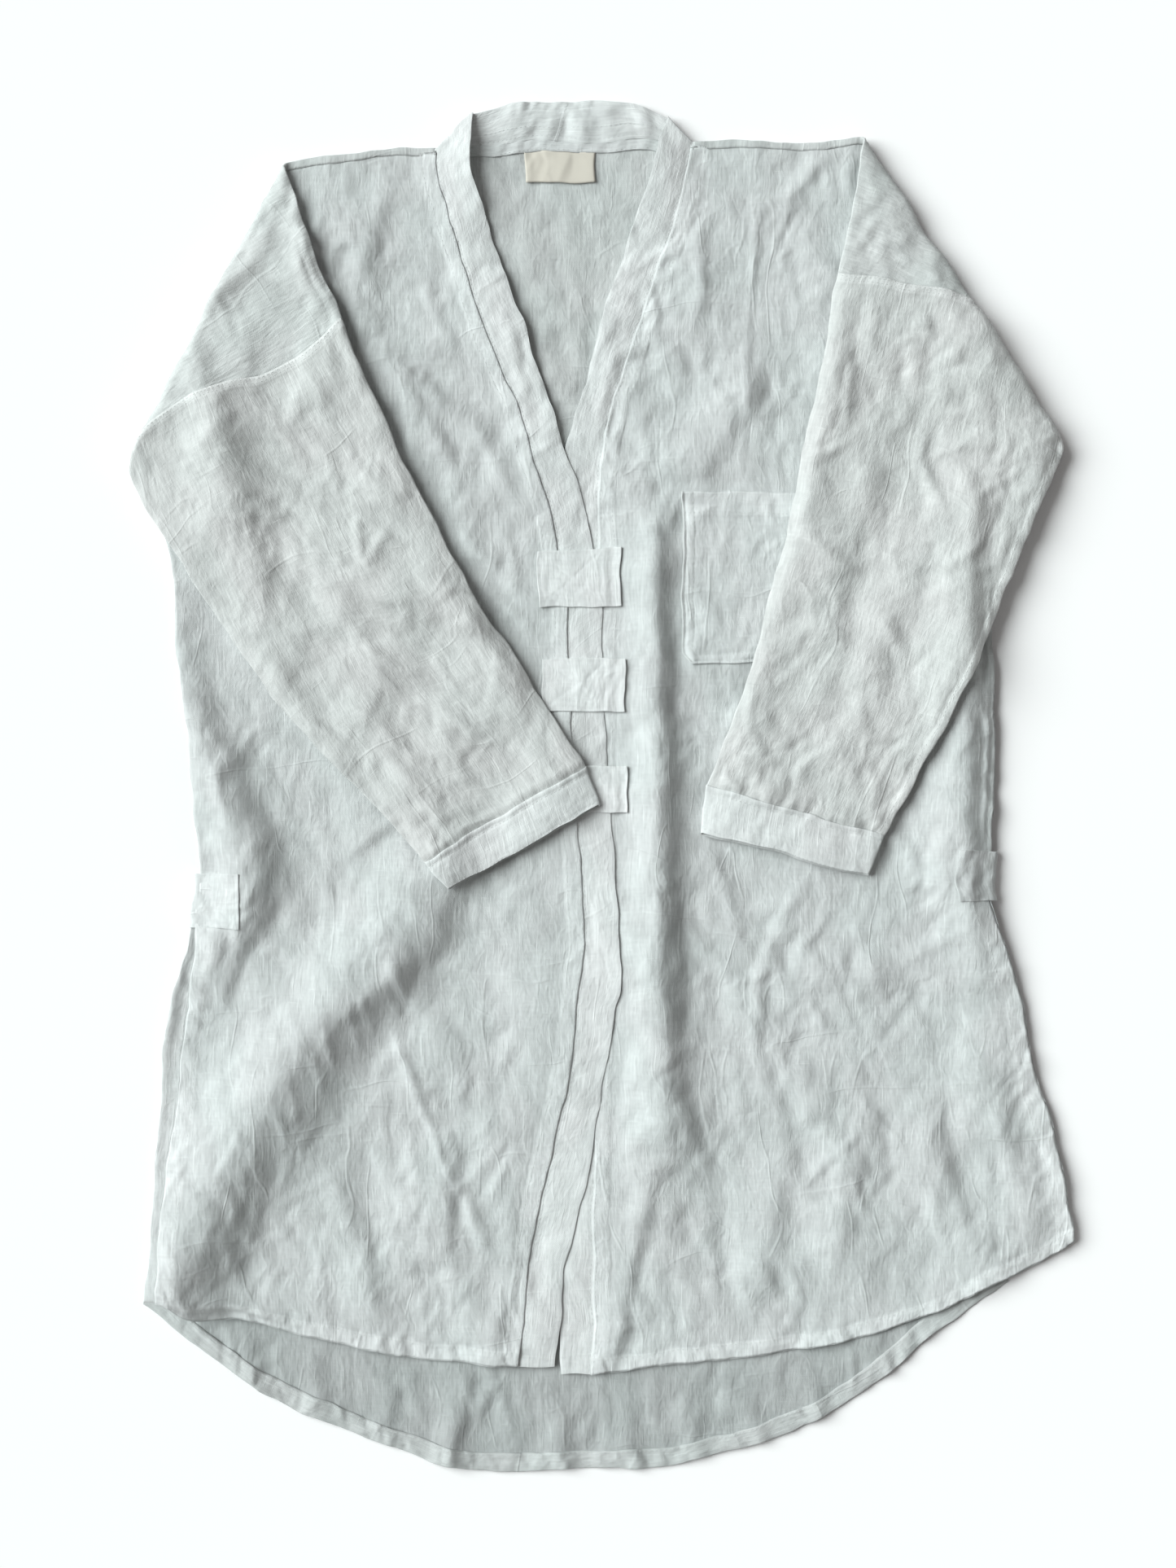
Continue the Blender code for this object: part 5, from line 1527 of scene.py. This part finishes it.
def side_tab_piece(side):
    """A tab at the top of a side slit: flat on the front, half round the side edge, and back a
    little way under it."""
    outward = OUTWARD[side]
    low, high = SIDE_TAB_SPAN[side]
    y = np.linspace(low, high, 26)
    edge = side_edge(side, "front_slit", np.linspace(0, 1, 200))
    rim = np.interp(y, edge[:, 1], edge[:, 0]) + outward * 0.6
    bulge = outward * SIDE_TAB_BULGE[side] * np.sin(math.pi * (y - low) / (high - low))
    inner = (SIDE_TAB_INNER[side] - bulge)[:, None]
    share = np.linspace(0, 1, 18)
    x = inner + (rim[:, None] - inner) * share
    flat_y = np.broadcast_to(y[:, None], x.shape)
    lift = FRONT_LEVEL + 1.0
    top = lift + front_rise(x, flat_y) + front_detail(x, flat_y)
    angle = np.linspace(0, math.pi, 9)[1:]
    radius = (top[:, -1:] - BACK_LEVEL) / 2
    round_x = rim[:, None] + outward * radius * np.sin(angle)
    round_z = top[:, -1:] - radius * (1 - np.cos(angle))
    x = np.concatenate((x, round_x), axis=1)
    z = np.concatenate((top, round_z), axis=1)
    flat_y = np.broadcast_to(y[:, None], x.shape)
    places = np.stack((x, flat_y, z), axis=-1)
    along = run_along(places, 1)
    edge_inset = np.minimum(np.minimum(flat_y - low, high - flat_y), along)
    stitch = np.exp(-((edge_inset - STITCH_INSET) / 0.9)**2)
    gathers = SIDE_TAB_GATHER[side] * noise(x / 8.0, flat_y / 10.0, 170)
    places[:, :len(share), 2] += (gathers - 0.25 * stitch)[:, :len(share)]
    cut = np.stack((along, flat_y), axis=-1)
    # The share of plies is painted shade on the left tab and a doubled ply on the right one
    grids = [(places, cut, SIDE_TAB_PLIES_AND_PAINTED_SHADE[side])]
    piece = cloth_piece("side_tab_%s_cloth" % side, grids, BODY_LINEN, DOUBLED, bevel=0.3)
    declare(
        "side_tab_" + side)


def label_piece():
    """The blank woven label: caught under the neck strip, its lower edge standing off a little."""
    x, y = np.meshgrid(
        np.linspace(LABEL["left"], LABEL["right"], 40), np.linspace(LABEL["bottom"], LABEL["top"] + 2, 18))
    hang = (LABEL["top"] - y) / (LABEL["top"] - LABEL["bottom"])
    lift = 0.75 + 0.55 * hang + 0.12 * np.sin((x - LABEL["left"]) / 8.0) * hang
    cloth = back_detail(x, y)
    lift += cloth + 0.6 * np.clip(hang, 0, 1) * (cloth.max() - cloth)
    places = np.stack((x, y, BACK_LEVEL + lift), axis=-1)
    flat = np.stack((x, y), axis=-1)
    piece = cloth_piece("neck_label_tape", [(places, flat, 0.0)], TAPE, 0.35)
    declare(
        "neck_label")


def hem_piece(name, edge, inward, depth, level, material, seed, side_up=1.0, rolled=True):
    """A turned hem: a strip that lies on one face of a panel along its edge, and rolls round it.

    Its places are those of the edge moved inward by each distance, less than none at the roll,
    and its height is that of the panel, given by a function, plus a ply on the side it lies on.
    """
    away = np.concatenate((np.linspace(depth, 0.4, 9), [0.0, -0.25, -0.4, -0.4] if rolled else [0.0]))
    step = np.concatenate((np.full(9, 0.5), [0.48, 0.36, 0.12, -0.18] if rolled else [0.5]))
    run = unit(np.gradient(edge, axis=0))
    normal = np.stack((-run[:, 1], run[:, 0]), axis=-1) * inward
    flat = edge[:, None] + normal[:, None] * away[None, :, None]
    x, y = flat[..., 0], flat[..., 1]
    along = run_along(edge, 0)[:, None] * np.ones(len(away))
    pucker = 1.6 * puckers(along, away, seed) * smooth_step((away + 1) / 3.0)
    places = raised(flat, level(x, y) + side_up * (step + pucker))
    cut = np.stack((np.broadcast_to(away, x.shape), along), axis=-1)
    piece = cloth_piece(name, [(places, cut, 0.6)], material, 0.4)
    inner = places[:, 8::-1]
    return piece, line_at(inner, np.broadcast_to(away[8::-1], inner.shape[:2]), depth - STITCH_INSET)


back_piece()
for garment_side in ("right", "left"):
    front_piece(garment_side)
    band_piece(garment_side)
    sleeve_pieces(garment_side)
    side_tab_piece(garment_side)
pocket_piece()
for tab_number in range(len(TABS["left"])):
    tab_piece(tab_number)
label_piece()


# Stage

def make_stage():
    """A plain pale floor, one broad soft light from the upper left, and a camera straight above."""
    size = 6.0
    mesh = bpy.data.meshes.new("floor")
    mesh.from_pydata(
        [(-size, -size, 0), (size, -size, 0), (size, size, 0), (-size, size, 0)], [], [(0, 1, 2, 3)])
    floor = bpy.data.objects.new("floor", mesh)
    floor.location.z = -0.0002
    bpy.context.scene.collection.objects.link(floor)
    material, tree, shader = new_material("pale floor", 0.9)
    place = add_node(tree, "ShaderNodeTexCoord").outputs["Object"]
    grain = add_node(tree, "ShaderNodeTexNoise", {"Vector": place, "Scale": 3.0}).outputs["Fac"]
    tint = add_node(
        tree, "ShaderNodeMix", {"Factor": grain, 6: (1.0, 0.985, 0.985, 1), 7: (0.985, 0.97, 0.97, 1)},
        data_type="RGBA")
    tree.links.new(tint.outputs[2], shader.inputs["Base Color"])
    mesh.materials.append(material)
    key = bpy.data.lights.new("key", "SUN")
    key.energy = 4.2
    key.color = (0.93, 1.0, 1.0)
    key.angle = math.radians(46)
    lamp = bpy.data.objects.new("key", key)
    lamp.rotation_euler = Vector((-1.0, 0.35, 0.85)).to_track_quat("Z", "Y").to_euler()
    bpy.context.scene.collection.objects.link(lamp)
    world = bpy.data.worlds.new("soft room")
    world.use_nodes = True
    world.node_tree.nodes["Background"].inputs["Color"].default_value = (1.0, 0.99, 0.97, 1.0)
    world.node_tree.nodes["Background"].inputs["Strength"].default_value = 0.2
    bpy.context.scene.world = world
    camera = bpy.data.cameras.new("camera")
    camera.lens = 65.0
    camera.clip_end = 20.0
    holder = bpy.data.objects.new("camera", camera)
    holder.location = (CAMERA_X * MM, 0.0, FRAME_HEIGHT * MM * camera.lens / camera.sensor_width)
    bpy.context.scene.collection.objects.link(holder)
    bpy.context.scene.camera = holder
    bpy.context.scene.view_settings.view_transform = "Standard"


# The photo is 1926 pixels high at 0.58 mm a pixel, and its middle lies 18.5 pixels left of the
# garment's
FRAME_HEIGHT = 1926 * 0.58
CAMERA_X = -18.5 * 0.58

make_stage()
